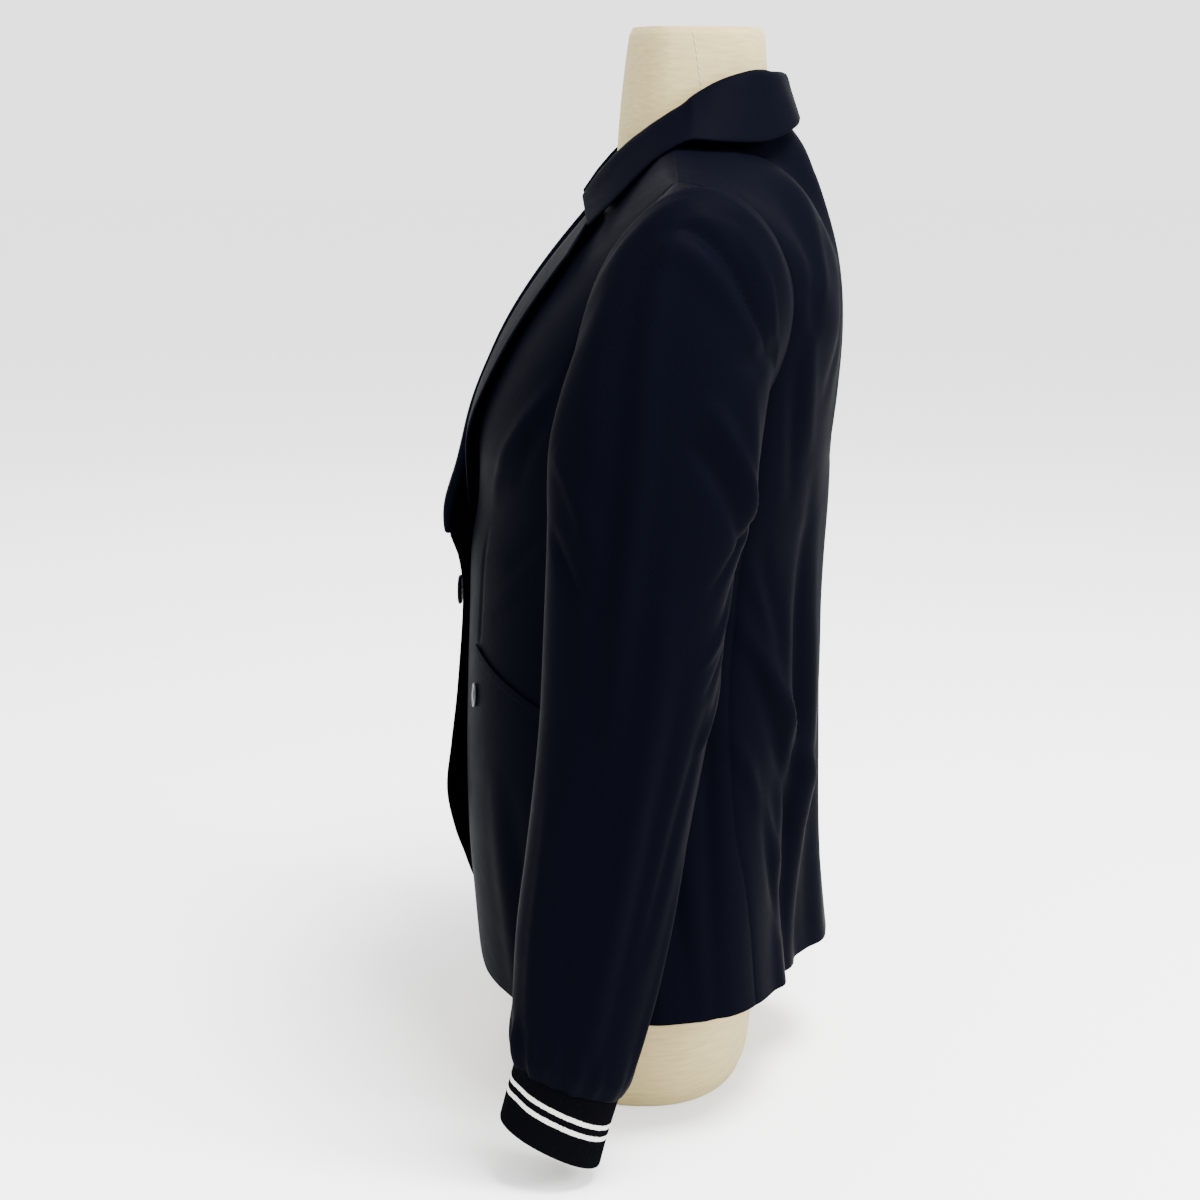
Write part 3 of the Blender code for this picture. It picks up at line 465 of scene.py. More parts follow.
@dataclass(frozen=True)
class SewingThread:
    """Spun polyester thread, twisted from three plies, so it shows small slanted lights."""

    name: str
    colour: str
    ply_mm: float = 0.5

    def make(self) -> bpy.types.Material:
        """Builds the material.

        Returns:
            The material.
        """
        material, tree, shader = new_material(self.name)
        place = add_node(tree, "TexCoord").outputs["Object"]
        ply = add_node(
            tree,
            "TexWave",
            {"wave_type": "BANDS", "bands_direction": "DIAGONAL"},
            {"Scale": DIAGONAL_REPEAT / (self.ply_mm * 0.001)},
            {"Vector": place},
        )
        twist = add_node(
            tree, "Bump", {}, {"Strength": 0.5, "Distance": 0.0001}, {"Height": ply.outputs["Fac"]}
        )
        shader.inputs["Base Color"].default_value = linear(self.colour)
        shader.inputs["Roughness"].default_value = 0.7
        tree.links.new(twist.outputs["Normal"], shader.inputs["Normal"])
        return material


@dataclass(frozen=True)
class StudioPaper:
    """Matte background paper, calendered, pale and even with a faint tooth."""

    name: str = "studio_paper"
    colour: str = "FAFAFA"
    tooth_mm: float = 1.5

    def make(self) -> bpy.types.Material:
        """Builds the material.

        Returns:
            The material.
        """
        material, tree, shader = new_material(self.name)
        place = add_node(tree, "TexCoord").outputs["Object"]
        tooth = add_node(
            tree, "TexNoise", {}, {"Scale": 1000 / self.tooth_mm, "Detail": 2.0}, {"Vector": place}
        )
        bump = add_node(
            tree, "Bump", {}, {"Strength": 0.05, "Distance": 0.0002}, {"Height": tooth.outputs["Fac"]}
        )
        shader.inputs["Base Color"].default_value = linear(self.colour)
        shader.inputs["Roughness"].default_value = 0.95
        shader.inputs["Specular IOR Level"].default_value = 0.1
        tree.links.new(bump.outputs["Normal"], shader.inputs["Normal"])
        return material


# Small sums that every piece uses


def mix(a: Any, b: Any, part: float) -> Any:
    """Mixes two numbers or vectors."""
    return a + (b - a) * part


def ease(part: float) -> float:
    """Eases from 0 to 1, and stays there."""
    part = min(max(part, 0.0), 1.0)
    return part * part * (3 - 2 * part)


def mirrored(vector: Vector) -> Vector:
    """Gives the same place on the other side of the wearer."""
    return Vector((-vector.x, vector.y, vector.z))


def smooth_row(rows: Sequence[Any], value: float) -> Any:
    """Reads a table between its rows, along smooth curves.

    Args:
        rows: Rows of one kind, in order of their first column.
        value: The place in the first column.

    Returns:
        A row of the same kind.
    """
    first = [row[0] for row in rows]
    value = min(max(value, first[0]), first[-1])
    index = max(i for i, start in enumerate(first[:-1]) if start <= value)
    low, high = rows[index], rows[index + 1]
    before = rows[max(index - 1, 0)]
    after = rows[min(index + 2, len(rows) - 1)]
    width = high[0] - low[0]
    part = (value - low[0]) / width
    mixed = [value]
    for column in range(1, len(low)):
        slope_low = (high[column] - before[column]) / (high[0] - before[0])
        slope_high = (after[column] - low[column]) / (after[0] - low[0])
        mixed.append(
            low[column] * (1 + 2 * part) * (1 - part) ** 2
            + slope_low * width * part * (1 - part) ** 2
            + high[column] * part**2 * (3 - 2 * part)
            - slope_high * width * part**2 * (1 - part)
        )
    return type(low)(*mixed)


def ring_place(angle: float, power: float) -> tuple[float, float]:
    """Finds a place on a flattened ring.

    Args:
        angle: Degrees from straight ahead.
        power: 2 for an ellipse, more for a squarer ring.

    Returns:
        The sideways and forward parts, each up to 1.
    """
    side = math.sin(math.radians(angle))
    ahead = math.cos(math.radians(angle))
    reach = (abs(side) ** power + abs(ahead) ** power) ** (-1 / power)
    return side * reach, ahead * reach


def swell(drop: float) -> float:
    """Gives a low swell that starts steeply and dies away."""
    return math.sqrt(drop) * math.exp(-drop)


class Fold(NamedTuple):
    """A soft ridge, or a trough where height is below 0, from one place to another."""

    angle_from: float
    from_place: float
    angle_to: float
    to_place: float
    half_angle: float
    height: float


def fold_height(folds: Sequence[Fold], angle: float, along: float) -> float:
    """Adds up the folds at a place.

    Args:
        folds: The folds of one surface.
        angle: Degrees round it.
        along: The place along it.

    Returns:
        Metres outwards.
    """
    height = 0.0
    for fold in folds:
        part = (along - fold.from_place) / (fold.to_place - fold.from_place)
        if not 0.0 < part < 1.0:
            continue
        across = (angle - mix(fold.angle_from, fold.angle_to, part)) / fold.half_angle
        if abs(across) < 4:
            height += fold.height * math.sin(math.pi * part) ** 0.6 * math.exp(-across * across)
    return height


# The torso surface that the panels lie on


class TorsoRow(NamedTuple):
    """One level of the torso."""

    z: float
    half_width: float
    front_y: float
    side_y: float
    back_y: float
    power: float


class StandRow(NamedTuple):
    """How far the right front's edge stands forward at a height."""

    z: float
    forward: float


class RollRow(NamedTuple):
    """The line where a front folds back into its lapel."""

    z: float
    x: float


class HemDraw(NamedTuple):
    """Where the hem draws in round the back."""

    angle: float
    half_angle: float
    depth: float
    top_z: float


@dataclass(frozen=True)
class Torso:
    """The jacket's body as one smooth surface, with its soft folds."""

    centre_z: float = 0.690
    slope: float = 0.208
    neck_x: float = 0.0685
    neck_rise: float = 0.110
    back_neck_z: float = 0.6930
    front_slope_height: float = 0.220
    back_slope_height: float = 0.115
    crown: float = 0.080
    crown_drop: float = 0.020
    back_crown: float = 0.500
    back_crown_drop: float = 0.025
    back_crown_x: float = 0.040
    back_crown_rise: float = 0.035
    back_crown_end_x: float = 0.090
    back_crown_fade: float = 0.050
    back_round: float = 2.2
    meet_steps: int = 12
    top_margin: float = 4e-7
    lap: float = 0.020
    corner_width: float = 0.112
    corner_height: float = 0.135
    hem_z: float = 0.090
    break_z: float = 0.395
    lap_gap: float = 0.0030
    stand_inner_x: float = -0.010
    stand_fade_x: float = 0.085
    rows: tuple[TorsoRow, ...] = (
        TorsoRow(0.085, 0.190, -0.1175, 0.012, 0.1460, 2.5),
        TorsoRow(0.120, 0.188, -0.1205, 0.012, 0.1420, 2.5),
        TorsoRow(0.180, 0.181, -0.1250, 0.012, 0.1360, 2.5),
        TorsoRow(0.240, 0.172, -0.1260, 0.012, 0.1320, 2.5),
        TorsoRow(0.300, 0.163, -0.1245, 0.012, 0.1295, 2.5),
        TorsoRow(0.350, 0.158, -0.1225, 0.012, 0.1288, 2.5),
        TorsoRow(0.390, 0.159, -0.1210, 0.013, 0.1305, 2.5),
        TorsoRow(0.430, 0.164, -0.1150, 0.014, 0.1330, 2.6),
        TorsoRow(0.480, 0.171, -0.1140, 0.017, 0.1352, 2.8),
        TorsoRow(0.520, 0.174, -0.1110, 0.019, 0.1365, 3.1),
        TorsoRow(0.560, 0.175, -0.1110, 0.020, 0.1372, 3.4),
        TorsoRow(0.600, 0.176, -0.1120, 0.020, 0.1345, 3.6),
        TorsoRow(0.640, 0.179, -0.1130, 0.020, 0.1250, 3.6),
        TorsoRow(0.668, 0.182, -0.1130, 0.020, 0.1155, 3.6),
        TorsoRow(0.680, 0.183, -0.1130, 0.020, 0.1085, 3.6),
        TorsoRow(0.690, 0.184, -0.1130, 0.020, 0.1000, 3.6),
        TorsoRow(0.700, 0.184, -0.1130, 0.020, 0.0920, 3.6),
    )
    stand_rows: tuple[StandRow, ...] = (
        StandRow(0.085, 0.000),
        StandRow(0.146, 0.0045),
        StandRow(0.170, 0.0088),
        StandRow(0.205, 0.0130),
        StandRow(0.240, 0.0090),
        StandRow(0.280, 0.0050),
        StandRow(0.350, 0.0025),
        StandRow(0.380, 0.0060),
        StandRow(0.403, 0.0155),
        StandRow(0.425, 0.0140),
        StandRow(0.450, 0.0080),
        StandRow(0.480, 0.0020),
        StandRow(0.520, 0.0000),
    )
    roll_rows: tuple[RollRow, ...] = (
        RollRow(0.395, -0.0200),
        RollRow(0.430, -0.0050),
        RollRow(0.460, 0.0065),
        RollRow(0.500, 0.0180),
        RollRow(0.540, 0.0280),
        RollRow(0.580, 0.0375),
        RollRow(0.610, 0.0440),
        RollRow(0.634, 0.0500),
        RollRow(0.655, 0.0590),
        RollRow(0.676, 0.0685),
    )
    main_folds: tuple[Fold, ...] = (
        Fold(158.0, 0.460, 150.0, 0.080, 7.0, 0.0045),
        Fold(141.0, 0.420, 138.0, 0.080, 6.0, -0.0035),
        Fold(122.0, 0.350, 152.0, 0.200, 6.0, 0.0030),
        Fold(126.0, 0.260, 146.0, 0.120, 5.0, -0.0025),
        Fold(58.0, 0.530, 36.0, 0.460, 7.0, 0.0025),
        Fold(128.0, 0.640, 150.0, 0.520, 7.0, 0.0020),
    )
    hem_draws: tuple[HemDraw, ...] = (
        HemDraw(140.0, 26.0, 0.0255, 0.345),
        HemDraw(157.0, 10.0, 0.0130, 0.260),
    )
    small_folds: tuple[Fold, ...] = (
        Fold(147.0, 0.440, 155.0, 0.010, 3.4, 0.0030),
        Fold(140.0, 0.460, 148.0, -0.020, 2.6, -0.0051),
        Fold(134.0, 0.400, 141.0, -0.060, 3.2, 0.0041),
        Fold(112.0, 0.374, 160.0, 0.205, 3.2, 0.0041),
        Fold(118.0, 0.345, 148.0, 0.180, 2.6, -0.0035),
        Fold(112.0, 0.292, 143.0, 0.160, 3.0, 0.0035),
        Fold(122.0, 0.265, 140.0, 0.120, 2.2, -0.0027),
        Fold(120.0, 0.420, 133.0, 0.330, 2.4, -0.0022),
        Fold(117.0, 0.400, 128.0, 0.345, 2.0, 0.0019),
        Fold(150.0, 0.670, 128.0, 0.540, 2.8, -0.0032),
        Fold(158.0, 0.672, 132.0, 0.560, 2.4, 0.0027),
        Fold(166.0, 0.668, 140.0, 0.500, 2.8, -0.0024),
        Fold(172.0, 0.655, 152.0, 0.470, 3.2, 0.0020),
        Fold(129.0, 0.580, 136.0, 0.470, 2.6, 0.0024),
        Fold(126.0, 0.540, 131.0, 0.440, 2.2, -0.0024),
        Fold(172.0, 0.420, 171.0, 0.060, 4.0, 0.0024),
        Fold(163.0, 0.300, 166.0, 0.020, 3.0, -0.0022),
        Fold(71.0, 0.470, 44.0, 0.392, 2.6, -0.0030),
        Fold(66.0, 0.425, 38.0, 0.362, 2.2, 0.0022),
        Fold(50.0, 0.520, 33.0, 0.430, 2.6, 0.0024),
        Fold(57.0, 0.545, 45.0, 0.450, 2.4, -0.0027),
        Fold(60.0, 0.400, 36.0, 0.350, 2.0, -0.0016),
        Fold(77.0, 0.310, 92.0, 0.060, 3.4, 0.0027),
        Fold(84.0, 0.330, 101.0, 0.080, 3.0, -0.0024),
        Fold(104.0, 0.340, 108.0, 0.040, 3.0, -0.0030),
        Fold(40.0, 0.250, 49.0, 0.040, 4.0, 0.0024),
        Fold(47.0, 0.240, 57.0, 0.050, 3.2, -0.0019),
    )

    def drawn_in(self, angle: float, z: float) -> float:
        """Gives how far the cloth is drawn in towards the hem.

        Args:
            angle: Degrees from the centre front, without its sign.
            z: The height.

        Returns:
            Metres inwards.
        """
        depth = 0.0
        for row in self.hem_draws:
            across = (angle - row.angle) / row.half_angle
            fall = ease((row.top_z - z) / (row.top_z - self.hem_z))
            depth += row.depth * fall * math.exp(-across * across)
        return depth

    def shoulder_z(self, x: float) -> float:
        """Gives the height of the shoulder line."""
        return self.centre_z - self.slope * abs(x)

    def point(self, angle: float, z: float) -> Vector:
        """Finds a point of the surface, folds included.

        Args:
            angle: Degrees from the centre front, positive towards the wearer's left.
            z: Its height.

        Returns:
            The point.
        """
        row = smooth_row(self.rows, z)
        side, ahead = ring_place(angle, row.power)
        x = row.half_width * side
        drop = max(self.shoulder_z(x) - z, 0.0)
        if ahead >= 0:
            slope = math.sin(math.pi / 2 * min(drop / self.front_slope_height, 1.0))
            slope += self.crown * swell(drop / self.crown_drop)
            y = row.side_y - (row.side_y - row.front_y) * ahead * slope
        else:
            beside = ease((abs(x) - self.back_crown_x) / self.back_crown_rise)
            beside *= 1 - ease((abs(x) - self.back_crown_end_x) / self.back_crown_fade)
            drop += self.neck_rise * ease(1 - abs(x) / self.neck_x)
            fallen = 1 - min(drop / self.back_slope_height, 1.0)
            slope = math.sqrt(1 - fallen**self.back_round)
            slope += self.back_crown * beside * swell(drop / self.back_crown_drop)
            y = row.side_y - (row.back_y - row.side_y) * ahead * slope
        out = fold_height(self.main_folds, abs(angle), z) - self.drawn_in(abs(angle), z)
        out += fold_height(self.small_folds, abs(angle), z)
        turn = math.radians(angle)
        return Vector((x + out * math.sin(turn), y - out * math.cos(turn), z))

    def angle_of_x(self, x: float, z: float) -> float:
        """Gives the angle at which the front of a level reaches x.

        Args:
            x: The place sideways.
            z: The level's height.

        Returns:
            Degrees from the centre front.
        """
        row = smooth_row(self.rows, z)
        side = min(abs(x) / row.half_width, 1.0)
        ahead = (1 - side**row.power) ** (1 / row.power)
        return math.copysign(math.degrees(math.atan2(side, ahead)), x)

    def edge_x(self, z: float) -> float:
        """Gives the front edge: the rounded corner, the straight edge, then the roll line.

        Args:
            z: The height.

        Returns:
            The place sideways.
        """
        corner_top = self.hem_z + self.corner_height
        if z < corner_top:
            part = (corner_top - z) / self.corner_height
            return self.corner_width * (1 - math.sqrt(max(1 - part * part, 0.0))) - self.lap
        if z < self.break_z:
            return -self.lap
        return smooth_row(self.roll_rows, z).x

    def front(self, angle: float, z: float, side: Side) -> Vector:
        """Finds a front panel's point, in the coordinates of its own side.

        Args:
            angle: Degrees from the centre front.
            z: Its height.
            side: The panel's side. The right one stands forward.

        Returns:
            The point.
        """
        point = self.point(angle, z)
        if side is Side.RIGHT:
            span = self.stand_fade_x - self.stand_inner_x
            fade = 1 - ease((point.x - self.stand_inner_x) / span)
            point.y -= (self.lap_gap + smooth_row(self.stand_rows, z).forward) * fade
        return point

    def shoulder_level(self, angle: float) -> float:
        """Gives the height at which a line up the surface meets the shoulder seam.

        Args:
            angle: The line's angle.

        Returns:
            The height.
        """
        z = self.centre_z
        for _ in range(self.meet_steps):
            z = self.shoulder_z(self.point(angle, z).x) - self.top_margin
        return z

    def neck_angle(self) -> float:
        """Gives the angle of the neck's side on the back."""
        return 180.0 - self.angle_of_x(self.neck_x, self.shoulder_z(self.neck_x))

    def back_top(self, angle: float) -> float:
        """Gives the height of the back's top edge: shoulder seam, then the curve of the neck.

        Args:
            angle: Degrees from the centre front.

        Returns:
            The height.
        """
        neck = self.neck_angle()
        if angle < neck:
            return self.shoulder_level(angle)
        part = (angle - neck) / (180.0 - neck)
        rise = math.sin(math.pi / 2 * part) ** 0.7
        return mix(self.shoulder_level(neck), self.back_neck_z, rise)


# Walls of cloth on grids of points


@dataclass
class ClothWall:
    """A wall of cloth on a grid of mid points, with rounded rims and its cut's measures.

    Its map coordinates are metres across and along the cloth, so patterns keep their size.
    """

    name: str
    grid: Grid
    thickness: float
    closed: bool = False
    mirror: bool = False
    raised: Optional[Heights] = None
    normals: Optional[Grid] = None
    rim: float = 0.0009
    rim_shares: tuple[float, float] = (0.42, 0.88)
    across: list[list[float]] = field(default_factory=list)
    along: list[list[float]] = field(default_factory=list)

    def __post_init__(self) -> None:
        """Adds narrow rows along the rims, and measures the cloth."""
        given = self.normals or self.square_directions(self.grid)
        raised = self.raised or [[0.0] * len(self.grid[0]) for _ in self.grid]
        packed = [list(zip(*rows)) for rows in zip(self.grid, given, raised)]
        packed = self.with_rims(packed)
        if not self.closed:
            turned = [list(line) for line in zip(*packed)]
            packed = [list(line) for line in zip(*self.with_rims(turned))]
        self.grid = [[item[0] for item in line] for line in packed]
        self.normals = [[item[1] for item in line] for line in packed]
        self.raised = [[item[2] for item in line] for line in packed]
        self.measure()

    def with_rims(self, rows: list[list[Any]]) -> list[list[Any]]:
        """Adds a row close inside the first and the last one.

        Args:
            rows: Lines of (point, direction, height).

        Returns:
            The lines with two more.
        """
        first = self.between(rows[0], rows[1])
        last = self.between(rows[-1], rows[-2])
        return [rows[0], first, *rows[1:-1], last, rows[-1]]

    def between(self, edge: list[Any], inner: list[Any]) -> list[Any]:
        """Makes the line that lies a rim's width inside an edge.

        Args:
            edge: The edge's line.
            inner: The next line.

        Returns:
            The new line.
        """
        line = []
        for (p, n, h), (q, m, k) in zip(edge, inner):
            part = min(self.rim / max((q - p).length, 1e-6), 0.5)
            line.append((p.lerp(q, part), n.lerp(m, part).normalized(), mix(h, k, part)))
        return line

    def square_directions(self, grid: Grid) -> Grid:
        """Finds the directions square to a grid.

        Args:
            grid: The points.

        Returns:
            A direction for each point.
        """
        rows, columns = len(grid), len(grid[0])
        found = []
        for i in range(rows):
            line = []
            for j in range(columns):
                left = grid[i][(j - 1) % columns if self.closed else max(j - 1, 0)]
                right = grid[i][(j + 1) % columns if self.closed else min(j + 1, columns - 1)]
                below, above = grid[max(i - 1, 0)][j], grid[min(i + 1, rows - 1)][j]
                line.append((right - left).cross(above - below).normalized())
            found.append(line)
        return found

    def measure(self) -> None:
        """Measures how far each point is across and along the cloth."""
        self.across, self.along = [], []
        for i, line in enumerate(self.grid):
            ends = line + [line[0]] if self.closed else line
            reached = [0.0]
            for a, b in zip(ends, ends[1:]):
                reached.append(reached[-1] + (b - a).length)
            self.across.append(reached)
            if i == 0:
                self.along.append([0.0] * len(ends))
                continue
            before = self.grid[i - 1] + [self.grid[i - 1][0]]
            steps = [(p - q).length for p, q in zip(ends, before)]
            self.along.append([a + b for a, b in zip(self.along[-1], steps)])

    def cut(self) -> tuple[float, float, float]:
        """Measures the flat cut.

        Returns:
            Its greatest width and length, and its area.
        """
        width = max(line[-1] for line in self.across)
        length = max(self.along[-1])
        area = 0.0
        for i in range(len(self.grid) - 1):
            deep = [b - a for a, b in zip(self.along[i], self.along[i + 1])]
            wide = [b - a for a, b in zip(self.across[i], self.across[i][1:])]
            area += sum(w * (a + b) / 2 for w, a, b in zip(wide, deep, deep[1:]))
        return width, length, min(area, width * length)

    def share(self, i: int, j: int) -> float:
        """Gives the part of the thickness at a point, less at the rims so that they round.

        Args:
            i: The point's row.
            j: Its column.

        Returns:
            A part up to 1.
        """
        rows, columns = len(self.grid), len(self.grid[0])
        inside = min(i, rows - 1 - i)
        if not self.closed:
            inside = min(inside, j, columns - 1 - j)
        return self.rim_shares[inside] if inside < 2 else 1.0

    def build(self) -> bpy.types.Object:
        """Makes the wall's object.

        Returns:
            A closed mesh, smooth shaded, with its map coordinates.
        """
        rows, columns = len(self.grid), len(self.grid[0])
        outer, inner = [], []
        for i in range(rows):
            for j in range(columns):
                half = self.thickness / 2 * self.share(i, j)
                direction = self.normals[i][j]
                outer.append(self.grid[i][j] + direction * (half + self.raised[i][j]))
                inner.append(self.grid[i][j] - direction * half)
        points = outer + inner
        if self.mirror:
            points = [mirrored(p) for p in points]
        back, faces, places = rows * columns, [], []

        def face(*corners: tuple[int, int, int]) -> None:
            """Adds a face from (skin, row, column) corners."""
            faces.append([s * back + i * columns + j % columns for s, i, j in corners])
            places.extend((self.across[i][j], self.along[i][j]) for _, i, j in corners)

        width = columns if self.closed else columns - 1
        for i in range(rows - 1):
            for j in range(width):
                face((0, i, j), (0, i, j + 1), (0, i + 1, j + 1), (0, i + 1, j))
                face((1, i, j), (1, i + 1, j), (1, i + 1, j + 1), (1, i, j + 1))
        for i in (0, rows - 1):
            for j in range(width):
                face((0, i, j), (1, i, j), (1, i, j + 1), (0, i, j + 1))
        if not self.closed:
            for j in (0, columns - 1):
                for i in range(rows - 1):
                    face((0, i, j), (0, i + 1, j), (1, i + 1, j), (1, i, j))
        return mesh_object(self.name, points, faces, places)


def mesh_object(
    name: str,
    points: Sequence[Vector],
    faces: Sequence[Sequence[int]],
    places: Optional[Sequence[tuple[float, float]]] = None,
    sharp: float = 180.0,
) -> bpy.types.Object:
    """Makes an object from points and faces, with its faces turned outwards.

    Args:
        name: The object's name.
        points: Its points.
        faces: Corner numbers of each face.
        places: Map coordinates of each face's corners, in the same order.
        sharp: Edges that bend more than this many degrees stay sharp.

    Returns:
        The object, linked to the scene.
    """
    mesh = bpy.data.meshes.new(name)
    mesh.from_pydata([tuple(p) for p in points], [], [tuple(f) for f in faces])
    if places is not None:
        layer = mesh.uv_layers.new(name="UVMap")
        layer.data.foreach_set("uv", [value for place in places for value in place])
    shape = bmesh.new()
    shape.from_mesh(mesh)
    bmesh.ops.recalc_face_normals(shape, faces=shape.faces)
    shape.to_mesh(mesh)
    shape.free()
    mesh.shade_smooth()
    if sharp < 180.0:
        mesh.set_sharp_from_angle(angle=math.radians(sharp))
    made = bpy.data.objects.new(name, mesh)
    bpy.context.scene.collection.objects.link(made)
    return made


def place_piece(
    piece: bpy.types.Object, material: bpy.types.Material, node: str
) -> bpy.types.Object:
    """Gives a piece its finish and its body, and hides the solid that it stands for.

    Args:
        piece: The object.
        material: Its finish.
        node: The solid's name.

    Returns:
        The same object.
    """
    piece.data.materials.append(material)
    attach(piece, "root")
    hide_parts(node)
    log.info("%s: %d faces", piece.name, len(piece.data.polygons))
    return piece


def place_cloth(
    wall: ClothWall,
    material: bpy.types.Material,
    node: str,
) -> bpy.types.Object:
    """Builds a wall of cloth and states the cut that it was sewn from.

    Args:
        wall: The wall.
        material: Its finish.
        node: The solid's name.

    Returns:
        The object.
    """
    width, length, area = wall.cut()
    piece = place_piece(wall.build(), material, node)
    log.info("%s: cut %.3f x %.3f m, %.4f m2", piece.name, width, length, area)
    return piece


# Panels


class SeamRow(NamedTuple):
    """A place on the seam between a side and the back."""

    z: float
    angle: float


class ArmholeRow(NamedTuple):
    """A place on the armhole, from under the arm to the shoulder tip."""

    t: float
    z: float
    front_angle: float
    back_angle: float


@dataclass(frozen=True)
class Cut:
    """Where the body is cut into panels, and how finely each panel is made."""

    torso: Torso
    cloth: float = 0.0016
    seam_gap: float = -0.0003
    welt_gap: float = 0.0004
    shoulder_lap: float = 0.0014
    dip: float = 0.0007
    dip_columns: float = 1.4
    least_reach: float = 0.05
    foot_reach: float = 0.4
    halvings: int = 30
    tip_t: float = 0.999
    top_share: float = 0.6
    side_front: float = 66.0
    side_back: float = 118.0
    join_z: float = 0.455
    detail: int = 5
    corner_rows: int = 6
    lower_rows: int = 7
    join_rows: int = 2
    upper_rows: int = 8
    side_columns: int = 6
    back_seam_line: tuple[SeamRow, ...] = (
        SeamRow(0.085, 123.1),
        SeamRow(0.142, 121.6),
        SeamRow(0.181, 119.0),
        SeamRow(0.214, 115.5),
        SeamRow(0.256, 113.5),
        SeamRow(0.286, 112.5),
        SeamRow(0.322, 112.7),
        SeamRow(0.352, 113.6),
        SeamRow(0.400, 114.9),
        SeamRow(0.430, 116.6),
        SeamRow(0.455, 118.0),
    )
    armhole: tuple[ArmholeRow, ...] = (
        ArmholeRow(0.00, 0.4780, 90.0, 90.0),
        ArmholeRow(0.12, 0.4830, 73.0, 100.0),
        ArmholeRow(0.25, 0.4990, 59.0, 109.5),
        ArmholeRow(0.38, 0.5260, 53.5, 117.5),
        ArmholeRow(0.50, 0.5560, 52.3, 123.8),
        ArmholeRow(0.62, 0.5880, 52.0, 127.4),
        ArmholeRow(0.75, 0.6180, 53.4, 127.6),
        ArmholeRow(0.88, 0.6410, 57.0, 124.0),
        ArmholeRow(1.00, 0.6529, 64.0, 116.0),
    )

    def back_seam(self, z: float) -> float:
        """Gives the angle of the seam between a side and the back."""
        return smooth_row(self.back_seam_line, z).angle

    def lower_levels(self) -> list[float]:
        """Gives the heights of the rows that all panels share.

        Returns:
            Heights from the hem up.
        """
        torso, rows = self.torso, self.corner_rows * self.detail
        levels = []
        for i in range(rows):
            rise = 1 - math.cos(math.pi / 2 * i / rows)
            levels.append(torso.hem_z + torso.corner_height * rise)
        top, rows = torso.hem_z + torso.corner_height, self.lower_rows * self.detail
        return levels + [mix(top, self.join_z, i / rows) for i in range(rows + 1)]

    def seam_step(self, angle: float, z: float) -> float:
        """Gives half a seam's gap as an angle."""
        reach = max(self.torso.point(angle, z).xy.length, self.least_reach)
        return math.degrees(self.seam_gap / 2 / reach)

    def armhole_meets(self, angle: float) -> float:
        """Gives the place on the armhole above a place under the arm.

        Args:
            angle: Degrees from the centre front.

        Returns:
            The place along the armhole.
        """
        low, high = 0.0, self.foot_reach
        for _ in range(self.halvings):
            middle = (low + high) / 2
            row = smooth_row(self.armhole, middle)
            reached = row.back_angle if angle > 90 else row.front_angle
            inside = abs(reached - 90) < abs(angle - 90)
            low, high = (middle, high) if inside else (low, middle)
        return low

    def armhole_place(self, t: float, back: bool) -> tuple[float, float]:
        """Gives a place on the armhole.

        Args:
            t: The place along it.
            back: Whether it is on the back.

        Returns:
            Its angle and height.
        """
        row = smooth_row(self.armhole, t)
        angle = row.back_angle if back else row.front_angle
        return angle, self.torso.shoulder_level(angle) if t > self.tip_t else row.z

    def outer_edge(self, seam: float, front: bool) -> list[tuple[float, float]]:
        """Lists a panel's outer edge above the shared rows: its seam, then the armhole.

        Args:
            seam: The seam's angle.
            front: Whether the panel is a front.

        Returns:
            Angles and heights.
        """
        foot = self.armhole_meets(seam)
        foot_z = smooth_row(self.armhole, foot).z
        step = self.seam_step(seam, foot_z) * (-1 if front else 1)
        join, upper = self.join_rows * self.detail, self.upper_rows * self.detail
        edge = []
        for i in range(1, join + 1):
            edge.append((seam + step, mix(self.join_z, foot_z, i / join)))
        for i in range(1, upper + 1):
            edge.append(self.armhole_place(mix(foot, 1.0, i / upper), not front))
        return edge

    def sunk(self, columns_away: float) -> float:
        """Gives how far the cloth dips beside a seam, some columns away from it."""
        return -self.dip * math.exp(-((columns_away / self.dip_columns) ** 2))

    def rising(self) -> int:
        """Gives the number of rows above the shared ones."""
        return (self.join_rows + self.upper_rows) * self.detail


